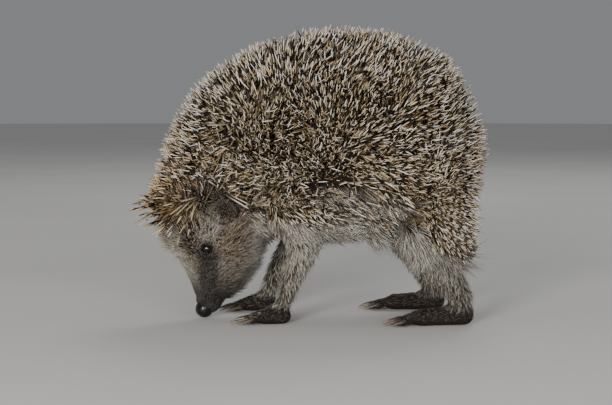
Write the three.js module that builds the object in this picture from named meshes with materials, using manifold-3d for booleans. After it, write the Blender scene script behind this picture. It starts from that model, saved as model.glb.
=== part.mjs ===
// A life-size, still hedgehog (Erinaceus europaeus), standing with its back hunched and its nose lowered to
// sniff the ground. Millimetres, +Z up. It faces -X, and its left side is -Y.
// Every piece reaches to the tips of the coat over it: quill tips on the back, hair tips elsewhere.
// Pieces earlier in the list keep their whole shape, and later ones are cut back from them by GAP.
import * as THREE from "three";
import { mergeVertices } from "three/addons/utils/BufferGeometryUtils.js";
import Module from "manifold-3d";

const wasm = await Module();
wasm.setup();

// ---- driving dimensions ----
const GAP = 0.3; // between neighbouring pieces
const WELD = 1e-4; // vertices closer than this are one
const FAR = 400; // larger than the animal, for cutting blocks

// Quill coat over the trunk: a dome, leaning back, wider at the hips than at the shoulders.
const COAT_CENTRE_HEIGHT = 72;
const COAT_HALF_FRONT = 85;
const COAT_HALF_REAR = 90.5;
const COAT_HALF_WIDTH = 57;
const COAT_RISE = 78.5;
const COAT_DROP = 23;
const COAT_HEM = 54; // height of the flat underside of the quill coat
const COAT_LEAN = 0.27; // backward shift of the top for each millimetre of height
const COAT_TAPER = 0.1; // share by which the hips are wider than the middle
const COAT_POWER = 2.12;
const SHOULDER_END = -24; // where the shoulders give way to the back
const RUMP_START = 34; // where the back gives way to the rump

// Head: an axis from the middle of the braincase to the nose, pointing steeply down.
const HEAD_CENTRE = new THREE.Vector3(-45.8, -4, 48.8);
const SNOUT_DIRECTION = new THREE.Vector3(-0.19, -0.06, -0.98);
const HEAD_TURN = 25; // degrees by which the forehead is turned towards the left side
const NOSE_DISTANCE = 45.4; // from the middle of the braincase to the middle of the nose pad
const NOSE_RADIUS = 3.6;
const EYE_RADIUS = 2.7;
const EYE_PLACE = { ahead: 12.6, out: 15.4, over: 11.6 };
const EYE_OPENING = 5; // radius of the hollow in the fur round each eye
const EAR_PLACE = { ahead: -6.2, out: 22.4, over: 9.4 };
const EAR_LENGTH = 12;
const EAR_WIDTH = 8.2;
const EAR_DEPTH = 4.4;

// Edge of the quills on the head, and the plane that parts the crown from the shoulders.
const BROW_EDGE = { ahead: -9, over: 15, slope: 1.5 };
const EAR_EDGE = -11;
const NAPE = new THREE.Vector3(-57, 0, 73);
const NAPE_DIRECTION = new THREE.Vector3(-0.59, -0.06, -0.805).normalize(); // towards the brow

// Legs and feet.
const FORE_BALL = -24; // where along X the balls of the forefeet stand, on average
const HIND_BALL = 52;
const FORE_STANCE = { left: 2, right: -7 }; // how far each forefoot stands behind its mean place
const HIND_STANCE = { left: 1, right: -9 };
const FORE_TOES = { count: 5, spread: 54, width: 11.5, reach: 6, length: 6, radius: 1.9, claw: 6.2 };
const HIND_TOES = { count: 5, spread: 34, width: 12, reach: 2.4, length: 8.4, radius: 2, claw: 5.6 };

const COLOURS = {
  quills: 0x8f7c62,
  face: 0x7d6c5b,
  fur: 0x9a8b78,
  underfur: 0xa39a8c,
  feet: 0x5f4f43,
  horn: 0x3b3029,
  nose: 0x151214,
  eye: 0x08080a,
};

// ---- geometry to solids and back ----
function solidOf(geometry) {
  const bare = geometry.clone();
  bare.deleteAttribute("normal");
  bare.deleteAttribute("uv");
  const merged = mergeVertices(bare, WELD);
  return new wasm.Manifold(
    new wasm.Mesh({
      numProp: 3,
      vertProperties: merged.attributes.position.array,
      triVerts: new Uint32Array(merged.index.array),
    }),
  );
}

function geometryOf(solid) {
  const mesh = solid.getMesh();
  const geometry = new THREE.BufferGeometry();
  geometry.setAttribute("position", new THREE.BufferAttribute(mesh.vertProperties, mesh.numProp));
  geometry.setIndex(new THREE.BufferAttribute(mesh.triVerts, 1));
  const flat = geometry.toNonIndexed();
  flat.computeVertexNormals();
  return flat;
}

function block(low, high) {
  const size = new THREE.Vector3().subVectors(high, low);
  const box = new THREE.BoxGeometry(size.x, size.y, size.z);
  box.translate((low.x + high.x) / 2, (low.y + high.y) / 2, (low.z + high.z) / 2);
  return solidOf(box);
}

function between(lowX, highX) {
  return block(new THREE.Vector3(lowX, -FAR, -FAR), new THREE.Vector3(highX, FAR, FAR));
}

const above = (height) => block(new THREE.Vector3(-FAR, -FAR, height), new THREE.Vector3(FAR, FAR, FAR));
const below = (height) => block(new THREE.Vector3(-FAR, -FAR, -FAR), new THREE.Vector3(FAR, FAR, height));

// Everything on the far side of a plane through a point.
function beyond(point, direction) {
  const box = new THREE.BoxGeometry(FAR, FAR, FAR);
  box.translate(0, 0, FAR / 2);
  box.applyQuaternion(new THREE.Quaternion().setFromUnitVectors(new THREE.Vector3(0, 0, 1), direction));
  box.translate(point.x, point.y, point.z);
  return solidOf(box);
}

// ---- shapes ----
// A frame whose X axis is forward, whose Y axis is to the animal's left and whose Z axis is up.
function frameAt(origin, forward, up) {
  const x = forward.clone().normalize();
  const y = new THREE.Vector3().crossVectors(up, x).normalize();
  const z = new THREE.Vector3().crossVectors(x, y);
  return new THREE.Matrix4().makeBasis(x, y, z).setPosition(origin);
}

// A rounded body with its own half size on each of its six sides.
function blob(half, grow = 0, detail = 20, power = 2) {
  const geometry = new THREE.SphereGeometry(1, detail, Math.round(detail / 2));
  geometry.rotateX(Math.PI / 2);
  const place = geometry.attributes.position;
  const v = new THREE.Vector3();
  for (let i = 0; i < place.count; i++) {
    v.fromBufferAttribute(place, i).normalize();
    const x = v.x / ((v.x > 0 ? half.front : half.back) + grow);
    const y = v.y / (half.side + grow);
    const z = v.z / ((v.z > 0 ? half.up : half.down) + grow);
    const reach = (Math.abs(x) ** power + Math.abs(y) ** power + Math.abs(z) ** power) ** (-1 / power);
    v.multiplyScalar(reach);
    place.setXYZ(i, v.x, v.y, v.z);
  }
  return geometry;
}

// A closed tube through a list of rings. Each ring has a middle, and half sizes up, down and sideways.
// The rings between those given follow a smooth curve, and both ends are rounded.
function loft(rings, upward, sides, steps, grow = 0) {
  const line = new THREE.CatmullRomCurve3(rings.map((r) => r.at), false, "centripetal");
  const sizes = rings.map((r) => new THREE.Vector3(r.up, r.down, r.side));
  const size = (t) => {
    const place = t * (sizes.length - 1);
    const k = Math.min(Math.floor(place), sizes.length - 2);
    const blend = THREE.MathUtils.smoothstep(place - k, 0, 1) * 0.5 + (place - k) * 0.5;
    return sizes[k].clone().lerp(sizes[k + 1], blend);
  };
  const points = [];
  const faces = [];
  const ring = (middle, tangent, half, share) => {
    const side = new THREE.Vector3().crossVectors(upward, tangent).normalize();
    const up = new THREE.Vector3().crossVectors(tangent, side);
    for (let i = 0; i < sides; i++) {
      const angle = (2 * Math.PI * i) / sides;
      const out = Math.cos(angle) * (half.z + grow) * share;
      const rise = Math.sin(angle) * ((Math.sin(angle) > 0 ? half.x : half.y) + grow) * share;
      points.push(middle.clone().addScaledVector(side, out).addScaledVector(up, rise));
    }
  };
  // Each end is a cap of up to two smaller rings and a pole, as deep as its ring's cap says.
  const heights = sides > 10 ? [0.6, 0.9] : sides > 4 ? [0.72] : [];
  const cap = (t, sign) => {
    const middle = line.getPoint(t);
    const tangent = line.getTangent(t);
    const half = size(t);
    const depth = (rings[t === 0 ? 0 : rings.length - 1].cap ?? Math.min(half.x, half.y, half.z)) + grow;
    const levels = sign < 0 ? heights.toReversed() : heights;
    return { middle, tangent, half, depth, levels, sign };
  };
  const start = cap(0, -1);
  const end = cap(1, 1);
  const capRing = (c, level) =>
    ring(
      c.middle.clone().addScaledVector(c.tangent, c.sign * c.depth * level),
      c.tangent,
      c.half,
      Math.sqrt(1 - level * level),
    );
  start.levels.forEach((level) => capRing(start, level));
  for (let j = 0; j <= steps; j++) {
    const t = j / steps;
    ring(line.getPoint(t), line.getTangent(t), size(t), 1);
  }
  end.levels.forEach((level) => capRing(end, level));
  const count = points.length / sides;
  for (let j = 0; j < count - 1; j++)
    for (let i = 0; i < sides; i++) {
      const a = j * sides + i;
      const b = j * sides + ((i + 1) % sides);
      faces.push(a, b, b + sides, a, b + sides, a + sides);
    }
  const pole = (c, first) => {
    points.push(c.middle.clone().addScaledVector(c.tangent, c.sign * c.depth));
    const tip = points.length - 1;
    for (let i = 0; i < sides; i++) {
      const a = first + i;
      const b = first + ((i + 1) % sides);
      faces.push(...(c.sign > 0 ? [a, b, tip] : [b, a, tip]));
    }
  };
  pole(start, 0);
  pole(end, (count - 1) * sides);
  const geometry = new THREE.BufferGeometry().setFromPoints(points);
  geometry.setIndex(faces);
  return geometry;
}

const at = (x, y, z) => new THREE.Vector3(x, y, z);
const round = (place, radius, extra = {}) => {
  return { at: place, up: radius, down: radius, side: radius, ...extra };
};
const UP = at(0, 0, 1);

// ---- the head's own frame ----
const turn = THREE.MathUtils.degToRad(HEAD_TURN);
const facing = at(-Math.cos(turn), -Math.sin(turn), 0);
const snout = SNOUT_DIRECTION.clone().normalize();
const forehead = facing.clone().addScaledVector(snout, -facing.dot(snout)).normalize();
const HEAD = frameAt(HEAD_CENTRE, snout, forehead);
const napeward = snout.clone().negate();
const onHead = (ahead, left, over) => at(ahead, left, over).applyMatrix4(HEAD);
const placed = (geometry, matrix) => solidOf(geometry.applyMatrix4(matrix));
const headTurn = new THREE.Matrix4().extractRotation(HEAD);
const headFrameAt = (ahead, left, over) => headTurn.clone().setPosition(onHead(ahead, left, over));

// Each row: distance ahead of the middle of the braincase, then half sizes up, down and sideways.
const HEAD_RINGS = [
  { ahead: -13, up: 24, down: 17, side: 19, cap: 9 },
  { ahead: -4, up: 29, down: 21, side: 22.5 },
  { ahead: 6, up: 30.5, down: 24, side: 23 },
  { ahead: 14, up: 26.5, down: 22.5, side: 19.5 },
  { ahead: 21, up: 18.5, down: 19, side: 15 },
  { ahead: 28, up: 12.2, down: 15.6, side: 11.2 },
  { ahead: 34, up: 8.2, down: 12.2, side: 8.4 },
  { ahead: 39, up: 5.6, down: 7.4, side: 6 },
  { ahead: 42.2, up: 4.3, down: 4.4, side: 4.5, cap: 2.6 },
];
const MUZZLE_START = 21;
const headRing = (row) => ({ ...row, at: onHead(row.ahead, 0, 0) });

function headShape(grow) {
  return solidOf(loft(HEAD_RINGS.map(headRing), forehead, 14, 10, grow));
}

function lowerJaw(grow) {
  const rings = [
    { ahead: 14, over: -15.5, up: 4, down: 7.4, side: 11.5, cap: 4 },
    { ahead: 22, over: -12.6, up: 3.6, down: 6.2, side: 9 },
    { ahead: 29, over: -9.6, up: 3, down: 4.8, side: 6.4 },
    { ahead: 35, over: -6.8, up: 2.2, down: 3.6, side: 4.4, cap: 2.6 },
  ];
  const placedRings = rings.map((r) => ({ ...r, at: onHead(r.ahead, 0, r.over) }));
  return solidOf(loft(placedRings, forehead, 10, 4, grow));
}

function nose(grow) {
  const pad = {
    front: NOSE_RADIUS * 0.95,
    back: NOSE_RADIUS * 0.9,
    side: NOSE_RADIUS * 1.08,
    up: NOSE_RADIUS,
    down: NOSE_RADIUS * 0.92,
  };
  return placed(blob(pad, grow, 12, 2.3), headFrameAt(NOSE_DISTANCE, 0, 0.6));
}

// The fur parts round the eye, so its cutter also takes a shallow hollow out of the head.
const eye = (hand) => (grow) => {
  const { ahead, out, over } = EYE_PLACE;
  const ball = new THREE.SphereGeometry(EYE_RADIUS + grow, 10, 7);
  const eyeball = placed(ball, headFrameAt(ahead, hand * out, over));
  if (grow === 0) return eyeball;
  const hollow = new THREE.SphereGeometry(EYE_OPENING, 10, 7);
  return eyeball.add(placed(hollow, headFrameAt(ahead, hand * (out + EYE_OPENING * 0.8), over)));
};

// A rounded cup, open outwards and forwards, that leans back from the side of the head.
const ear = (hand) => (grow) => {
  const root = onHead(EAR_PLACE.ahead, hand * EAR_PLACE.out, EAR_PLACE.over);
  const tipward = at(-0.72, hand * 0.5, 0.5).applyMatrix4(headTurn);
  const openward = at(0.62, hand * 0.78, 0.1).applyMatrix4(headTurn);
  const half = {
    front: EAR_LENGTH * 0.62,
    back: EAR_LENGTH * 0.55,
    side: EAR_WIDTH,
    up: EAR_DEPTH * 0.5,
    down: EAR_DEPTH,
  };
  const outer = placed(blob(half, grow, 12, 2.2), frameAt(root, tipward, openward));
  if (grow > 0) return outer;
  const bowl = {
    front: EAR_LENGTH * 0.5,
    back: EAR_LENGTH * 0.36,
    side: EAR_WIDTH * 0.74,
    up: EAR_DEPTH,
    down: EAR_DEPTH * 0.5,
  };
  const mouth = root.clone().addScaledVector(openward, EAR_DEPTH * 0.62);
  return outer.subtract(placed(blob(bowl, 0, 10), frameAt(mouth, tipward, openward)));
};

function pastNape(distance) {
  return beyond(NAPE.clone().addScaledVector(NAPE_DIRECTION, distance), NAPE_DIRECTION);
}

// The edge of the quills hangs forward over the forehead and runs level above the ears.
function crownLimit() {
  const overBrow = at(-1, 0, BROW_EDGE.slope).normalize().applyMatrix4(headTurn);
  const brow = beyond(onHead(BROW_EDGE.ahead, 0, BROW_EDGE.over), overBrow);
  return brow.add(beyond(onHead(EAR_EDGE, 0, 0), napeward)).intersect(pastNape(GAP / 2));
}

// The hood of quills over the brow, joined to the coat behind it.
function crown(grow) {
  const half = { front: 20, back: 29, side: 33, up: 23.5, down: 26 };
  return placed(blob(half, grow, 18, 2.05), headFrameAt(-4, 0, 24)).add(coat(grow));
}

// ---- trunk ----
function coat(grow) {
  const half = {
    front: COAT_HALF_REAR,
    back: COAT_HALF_FRONT,
    side: COAT_HALF_WIDTH,
    up: COAT_RISE,
    down: COAT_DROP,
  };
  const geometry = blob(half, grow, 26, COAT_POWER);
  const place = geometry.attributes.position;
  for (let i = 0; i < place.count; i++) {
    const wide = 1 + (COAT_TAPER * place.getX(i)) / COAT_HALF_REAR;
    place.setXYZ(
      i,
      place.getX(i) + COAT_LEAN * place.getZ(i),
      place.getY(i) * wide,
      place.getZ(i) + COAT_CENTRE_HEIGHT,
    );
  }
  return solidOf(geometry).intersect(above(COAT_HEM - grow));
}

const upright = (x, y, z) => new THREE.Matrix4().makeTranslation(x, y, z);

function rump(grow) {
  const low = { front: 27, back: 30, side: 45, up: 34, down: 27 };
  return coat(grow).add(placed(blob(low, grow, 14, 2.2), upright(59, 0, 64)));
}

function underbody(grow) {
  const half = { front: 60, back: 52, side: 40, up: 26, down: 23 };
  return placed(blob(half, grow, 12, 2.2), upright(6, 0, 63));
}

function neck(grow) {
  const rings = [
    { at: at(-8, 0, 74), up: 30, down: 31, side: 33, cap: 8 },
    { at: at(-24, -1, 68), up: 30, down: 28, side: 29 },
    { at: at(-38, -3, 58), up: 30, down: 23, side: 24, cap: 8 },
  ];
  return solidOf(loft(rings, UP, 10, 3, grow));
}

function tail(grow) {
  const rings = [
    round(at(76, 1, 46), 4.6),
    round(at(81, 2, 39), 3.5),
    round(at(83, 2.5, 32), 2.5),
    round(at(82.5, 3, 26), 1.4),
  ];
  return solidOf(loft(rings, at(1, 0, 0), 7, 4, grow));
}

// ---- legs ----
// hand is +1 on the left, where Y is negative, and -1 on the right.
const across = (hand, x, y, z) => at(x, -hand * y, z);

const foreleg = (hand, stance) => (grow) => {
  const rings = [
    round(across(hand, -16, 23, 64), 15, { side: 12 }),
    round(across(hand, -3 + stance * 0.4, 27, 43), 11.5, { side: 9.5 }),
    round(across(hand, -10 + stance * 0.8, 27, 25), 7.6),
    round(across(hand, -15 + stance, 26, 12), 6.2, { cap: 3 }),
  ];
  return solidOf(loft(rings, at(-1, 0, 0.3), 10, 6, grow));
};

const thigh = (hand, stance) => (grow) => {
  const half = { front: 23, back: 21, side: 15, up: 26, down: 25 };
  return placed(blob(half, grow, 14, 2.15), upright(62 + stance * 0.4, -hand * 31, 55));
};

const shank = (hand, stance) => (grow) => {
  const rings = [
    round(across(hand, 60 + stance * 0.6, 33, 38), 11.5, { side: 9 }),
    round(across(hand, 70 + stance * 0.9, 32, 24), 8.2, { side: 7 }),
    round(across(hand, 77 + stance, 30, 12), 6.4, { cap: 3 }),
  ];
  return solidOf(loft(rings, at(-1, 0, 0.5), 10, 4, grow));
};

// One toe of a fan, as its direction, root and tip. The first toe is the inner one.
function toeLine(foot, index) {
  const { count, spread, width, reach, length, radius } = foot.toes;
  const share = index / (count - 1) - 0.5;
  const outward = -foot.hand * share;
  const angle = THREE.MathUtils.degToRad(spread * outward - foot.splay * foot.hand);
  const direction = at(-Math.cos(angle), Math.sin(angle), 0);
  const bend = 1 - 1.1 * share * share;
  const root = foot.ball.clone().add(at(0, outward * width, 0)).addScaledVector(direction, reach * bend);
  const tip = root.clone().addScaledVector(direction, length * bend).setZ(radius * 0.9);
  return { direction, root, tip };
}

const claw = (foot, index) => (grow) => {
  const { direction, tip } = toeLine(foot, index);
  const length = foot.toes.claw;
  const rings = [
    round(tip.clone().addScaledVector(direction, -1.6).setZ(3), 1.15, { side: 0.85 }),
    round(tip.clone().addScaledVector(direction, length * 0.35).setZ(3.1), 0.95, { side: 0.7 }),
    round(tip.clone().addScaledVector(direction, length * 0.8).setZ(1.9), 0.6, { side: 0.5 }),
    round(tip.clone().addScaledVector(direction, length).setZ(0.95), 0.35, { side: 0.32 }),
  ];
  return solidOf(loft(rings, UP, 4, 2, grow));
};

const sole = (foot) => (grow) => {
  let solid = solidOf(loft(foot.rings, UP, 10, 3, grow));
  for (let i = 0; i < foot.toes.count; i++) {
    const { root, tip } = toeLine(foot, i);
    const r = foot.toes.radius;
    const rings = [round(root.clone().setZ(3.6), r * 1.15), round(tip, r * 0.94)];
    solid = solid.add(solidOf(loft(rings, UP, 5, 1, grow)));
  }
  return grow > 0 ? solid : solid.intersect(above(0));
};

function forefoot(hand, stance) {
  const ball = across(hand, FORE_BALL + stance, 26, 4);
  const rings = [
    { at: across(hand, -15 + stance, 26, 6), up: 5.4, down: 6.8, side: 5.4, cap: 4 },
    { at: across(hand, -21 + stance, 26, 4.6), up: 4.8, down: 5.4, side: 7.4 },
    { at: across(hand, -27 + stance, 26, 3.6), up: 3.6, down: 4.2, side: 7.6, cap: 3 },
  ];
  return { hand, ball, rings, toes: FORE_TOES, splay: -3 };
}

function hindfoot(hand, stance) {
  const ball = across(hand, HIND_BALL + stance, 32.5, 4);
  const rings = [
    { at: across(hand, 78 + stance, 30, 5.6), up: 5.2, down: 6.4, side: 5.4, cap: 4.6 },
    { at: across(hand, 66 + stance, 31, 4.6), up: 4.6, down: 5.2, side: 6.2 },
    { at: across(hand, 53 + stance, 32.4, 3.8), up: 4, down: 4.4, side: 8, cap: 3 },
  ];
  return { hand, ball, rings, toes: HIND_TOES, splay: 6 };
}

// ---- assembly ----
const model = new THREE.Group();
const made = [];

function clearOf(solid, other) {
  const a = solid.boundingBox();
  const b = other.boundingBox();
  return [0, 1, 2].some((i) => a.min[i] > b.max[i] || b.min[i] > a.max[i]);
}

// Adds one node: its shape within limit, cut back from every node before it.
function add(name, shape, colour, roughness, limit) {
  let solid = shape(0);
  let cutter = shape(GAP);
  if (limit) {
    solid = solid.intersect(limit);
    cutter = cutter.intersect(limit);
  }
  for (const other of made) if (!clearOf(solid, other.cutter)) solid = solid.subtract(other.cutter);
  const bodies = solid.decompose().sort((a, b) => b.volume() - a.volume());
  solid = bodies[0];
  made.push({ name, solid, cutter });
  const material = new THREE.MeshStandardMaterial({ color: colour, roughness, metalness: 0 });
  const mesh = new THREE.Mesh(geometryOf(solid), material);
  mesh.name = name;
  model.add(mesh);
}

const HANDS = [
  { word: "left", hand: 1 },
  { word: "right", hand: -1 },
];

for (const { word, hand } of HANDS) add(`eye_${word}`, eye(hand), COLOURS.eye, 0.05);
add("nose", nose, COLOURS.nose, 0.25);
for (const { word, hand } of HANDS) add(`ear_${word}`, ear(hand), COLOURS.face, 0.8);
add("lower_jaw", lowerJaw, COLOURS.face, 0.85);
add("muzzle", headShape, COLOURS.face, 0.85, beyond(onHead(MUZZLE_START + GAP / 2, 0, 0), snout));
add("head", headShape, COLOURS.face, 0.85, beyond(onHead(MUZZLE_START - GAP / 2, 0, 0), napeward));
add("crown", crown, COLOURS.quills, 0.7, crownLimit());

for (const { word, hand } of HANDS)
  for (const [kind, foot] of [
    ["fore", forefoot(hand, FORE_STANCE[word])],
    ["hind", hindfoot(hand, HIND_STANCE[word])],
  ]) {
    for (let i = 0; i < foot.toes.count; i++)
      add(`claw_${kind}_${word}_${i + 1}`, claw(foot, i), COLOURS.horn, 0.4);
    add(`${kind}foot_${word}`, sole(foot), COLOURS.feet, 0.8);
  }
for (const { word, hand } of HANDS) {
  add(`shank_${word}`, shank(hand, HIND_STANCE[word]), COLOURS.feet, 0.85);
  add(`thigh_${word}`, thigh(hand, HIND_STANCE[word]), COLOURS.fur, 0.9);
}
const shoulderSpan = between(-FAR, SHOULDER_END - GAP / 2).subtract(pastNape(-GAP / 2));
add("shoulders", crown, COLOURS.quills, 0.7, shoulderSpan);
add("back", coat, COLOURS.quills, 0.7, between(SHOULDER_END + GAP / 2, RUMP_START - GAP / 2));
add("rump", rump, COLOURS.quills, 0.7, between(RUMP_START + GAP / 2, FAR));
add("tail", tail, COLOURS.feet, 0.85);
const underCoat = below(COAT_HEM - GAP);
for (const { word, hand } of HANDS)
  add(`foreleg_${word}`, foreleg(hand, FORE_STANCE[word]), COLOURS.fur, 0.9, underCoat);
add("neck", neck, COLOURS.fur, 0.9, underCoat);
add("belly", underbody, COLOURS.underfur, 0.9, underCoat);

// The origin lies under the middle of the whole animal, on the ground.
const extent = new THREE.Box3().setFromObject(model);
const middle = extent.getCenter(new THREE.Vector3());
model.position.set(-middle.x, -middle.y, 0);
const animal = new THREE.Group();
animal.add(model);

export default animal;
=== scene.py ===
"""A life-size hedgehog, hunched, its nose lowered to the ground: skin, quills, fur, eyes, nose and claws."""

import math

import bpy
import numpy as np
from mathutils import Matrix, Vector
from mathutils.bvhtree import BVHTree


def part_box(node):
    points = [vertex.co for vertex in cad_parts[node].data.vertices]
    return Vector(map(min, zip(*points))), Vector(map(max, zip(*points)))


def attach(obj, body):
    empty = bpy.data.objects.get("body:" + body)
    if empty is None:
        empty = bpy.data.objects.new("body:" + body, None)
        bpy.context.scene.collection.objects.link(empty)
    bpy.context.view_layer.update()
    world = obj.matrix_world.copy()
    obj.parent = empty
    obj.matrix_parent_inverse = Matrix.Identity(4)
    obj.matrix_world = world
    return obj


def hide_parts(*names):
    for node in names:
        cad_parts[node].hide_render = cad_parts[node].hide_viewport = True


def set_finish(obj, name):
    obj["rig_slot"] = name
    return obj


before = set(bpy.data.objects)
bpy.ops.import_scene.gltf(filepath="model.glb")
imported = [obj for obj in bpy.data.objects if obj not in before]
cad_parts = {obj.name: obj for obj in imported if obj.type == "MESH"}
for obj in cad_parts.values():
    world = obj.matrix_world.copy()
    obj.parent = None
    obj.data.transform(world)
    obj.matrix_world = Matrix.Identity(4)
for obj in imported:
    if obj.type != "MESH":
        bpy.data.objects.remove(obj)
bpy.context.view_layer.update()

MM = 0.001
SEED = 20240611
DRAW = np.random.default_rng(SEED)

# ---- places and directions, from the frame ----


def middle(node):
    """The middle of a node's box."""
    low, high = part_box(node)
    return np.array((low + high) / 2)


def unit(v):
    """A vector, or each row of an array, at length 1."""
    v = np.asarray(v, float)
    return v / np.maximum(np.linalg.norm(v, axis=-1, keepdims=True), 1e-12)


HANDS = {"left": 1, "right": -1}
NOSE_AT = middle("nose")
EYES_AT = {hand: middle(f"eye_{hand}") for hand in HANDS}
SNOUT = unit([-0.19, -0.06, -0.98])  # from the middle of the head to the nose
HEAD_LEFT = unit(EYES_AT["left"] - EYES_AT["right"])
FOREHEAD = unit(np.cross(SNOUT, HEAD_LEFT))
NOSE_AHEAD, NOSE_OVER = 45.4 * MM, 0.6 * MM  # where the nose lies from the middle of the head
HEAD_CENTRE = NOSE_AT - NOSE_AHEAD * SNOUT - NOSE_OVER * FOREHEAD


def in_head(points):
    """Places as millimetres ahead, left and over in the head's own frame."""
    away = (np.asarray(points) - HEAD_CENTRE) / MM
    return away @ np.stack([SNOUT, HEAD_LEFT, FOREHEAD], axis=1)


def on_head(ahead, left, over):
    """The place at so many millimetres ahead, left and over in the head's own frame."""
    return HEAD_CENTRE + MM * (ahead * SNOUT + left * HEAD_LEFT + over * FOREHEAD)


def soft_step(low, high, value):
    """0 below low, 1 above high and smooth between them."""
    t = np.clip((np.asarray(value, float) - low) / (high - low), 0, 1)
    return t * t * (3 - 2 * t)


# ---- meshes as arrays ----


def gathered(rows, key, width=1, kind=float):
    """One value of every vertex, edge, corner or face as an array, with a row for each where it is wide."""
    values = np.empty(len(rows) * width, kind)
    rows.foreach_get(key, values)
    return values.reshape(-1, width) if width > 1 else values


def points_of(piece):
    return gathered(piece.data.vertices, "co", 3)


def normals_of(piece):
    return gathered(piece.data.vertices, "normal", 3)


def edges_of(piece):
    return gathered(piece.data.edges, "vertices", 2, int)


def corners_of(piece):
    """The vertex at each corner of the faces, and the first corner of each face."""
    corners = gathered(piece.data.loops, "vertex_index", kind=int)
    return corners, gathered(piece.data.polygons, "loop_start", kind=int)


def move_points(piece, points):
    piece.data.vertices.foreach_set("co", np.asarray(points).ravel())
    piece.data.update()


def from_nearest(points, places):
    """How far each point is from the nearest of some places, in millimetres."""
    return np.min([np.linalg.norm(points - place, axis=1) for place in places], axis=0) / MM


def smoothed(values, edges, times, share=0.5):
    """Values on the vertices, each moved towards the mean of its neighbours by a share."""
    values = np.array(values, float)
    flat = values.reshape(len(values), -1)
    ends = np.concatenate([edges[:, 0], edges[:, 1]])
    others = np.concatenate([edges[:, 1], edges[:, 0]])
    count = np.maximum(np.bincount(ends, minlength=len(flat)), 1)
    share = np.broadcast_to(np.asarray(share, float), len(flat))
    for _ in range(times):
        for k in range(flat.shape[1]):
            mean = np.bincount(ends, flat[others, k], len(flat)) / count
            flat[:, k] += share * (mean - flat[:, k])
    return flat.reshape(values.shape)


SWELL = 1.04  # how much stronger the step outwards is than the step inwards


def fair(piece, times, share):
    """Takes facets out of a surface and keeps its volume: each step inwards is followed by one outwards."""
    edges = edges_of(piece)
    points = points_of(piece)
    for _ in range(times):
        points = smoothed(points, edges, 1, share)
        points = smoothed(points, edges, 1, -SWELL * np.asarray(share))
    move_points(piece, points)


# ---- working by hand ----


def pick_none():
    bpy.ops.object.select_all(action="DESELECT")


def pick_only(piece):
    """Deselects everything else and makes the piece active."""
    pick_none()
    piece.select_set(True)
    bpy.context.view_layer.objects.active = piece


def apply_modifier(piece, kind, **settings):
    pick_only(piece)
    modifier = piece.modifiers.new(kind.lower(), kind)
    for key, value in settings.items():
        setattr(modifier, key, value)
    bpy.ops.object.modifier_apply(modifier=modifier.name)


def joined(piece, *others):
    """Joins the others into the piece."""
    pick_only(piece)
    for other in others:
        other.select_set(True)
    bpy.ops.object.join()


def edit_faces(piece, chosen, step, **settings):
    """Takes one step of edit mode, such as delete or subdivide, on these faces only."""
    mesh = piece.data
    mesh.vertices.foreach_set("select", np.zeros(len(mesh.vertices), bool))
    mesh.edges.foreach_set("select", np.zeros(len(mesh.edges), bool))
    mesh.polygons.foreach_set("select", chosen)
    mesh.update()
    pick_only(piece)
    bpy.context.tool_settings.mesh_select_mode = (False, False, True)
    bpy.ops.object.mode_set(mode="EDIT")
    step(**settings)
    bpy.ops.object.mode_set(mode="OBJECT")


# ---- skin ----

VOXEL = 1.3 * MM
BRIDGE = 0.4 * MM  # outward, so that the thin gaps between neighbouring nodes close

TRUNK = ("shoulders", "back", "rump")
HOOD = ("crown", "shoulders")
# How deep the skin of the other body parts lies under the tips of the coat, in millimetres.
BODY = {
    "belly": 6, "neck": 5, "head": 2.4, "muzzle": 1.1, "lower_jaw": 1.1, "ear": 0.5,
    "thigh": 6, "shank": 2.6, "foreleg": 4, "forefoot": 0.5, "hindfoot": 0.5, "tail": 0.5,
}
KINDS = [*TRUNK, "crown", *BODY]
QUILL_DEPTH = 15.5 * MM
HOOD_DEPTH = 17 * MM
THIGH_QUILL_DEPTH = 12 * MM
HEM_DEPTH = 4 * MM  # under the flat underside of the quill coat
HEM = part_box("back")[0].z  # height of that underside
HEM_NEAR = 0.6 * MM  # flesh that ends nearer than this to the hem ends at it
UNDER_HEM = ("belly", "neck", "foreleg")  # these end flat at the hem, and their flesh goes on into the trunk
INTO_TRUNK = 15 * MM
FLANK_OVER_HEM, FLANK_FROM = 4 * MM, -22 * MM  # skin this high over the hem and behind this grows quills
TAIL_RISE = (30, 45)  # between these heights, in millimetres, the tail's flesh comes to lean into the rump
TAIL_ROOT = (-19, 0, 9)  # and its upper end has then moved by this much, in millimetres
THIGH_BACK = {"height": (34, 48), "behind": (84, 70)}  # the thigh's flesh ends in front of this
# Flesh added under the hood of quills, at the tip of the muzzle and for the ears, as ellipsoids: place and
# half sizes ahead, left and over, in the head's frame and millimetres.
LUMPS = {
    "collar": ((-13, 0, -7), (15, 24, 19)),
    "nape": ((-21, 0, 9), (15, 18, 13)),
    "muzzle_tip": ((39.0, 0, -1.5), (7.4, 5.6, 6.1)),
    "left_ear": ((-7, 22, 9.5), (6.5, 4, 6.5)),
    "right_ear": ((-7, -22, 9.5), (6.5, 4, 6.5)),
}

# Front edge of the quills: a sloping line over the brow and a limit beside it, in the head's frame.
BROW_EDGE = {"ahead": -9, "over": 15, "slope": 1.5}
EAR_EDGE = -11

# Lower edge of the quills over the thighs: how far back it lies at each height, in millimetres.
QUILL_EDGE = {"height": (31, 40, 50, 57, 62), "back": (63, 60, 52, 41, 0)}
QUILL_LOWEST = 36 * MM
NO_QUILLS = -10  # how far in front of that edge all that is lower than the lowest quill is taken to lie


def under_quills(points):
    """How far each place on the hindquarters lies behind the lower edge of the quills, in millimetres."""
    edge = np.interp(points[:, 2] / MM, QUILL_EDGE["height"], QUILL_EDGE["back"])
    return np.where(points[:, 2] > QUILL_LOWEST, points[:, 0] / MM - edge, NO_QUILLS)


def kind_of(node):
    """The body part that a node is, without its side."""
    return node.removesuffix("_left").removesuffix("_right")


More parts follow.
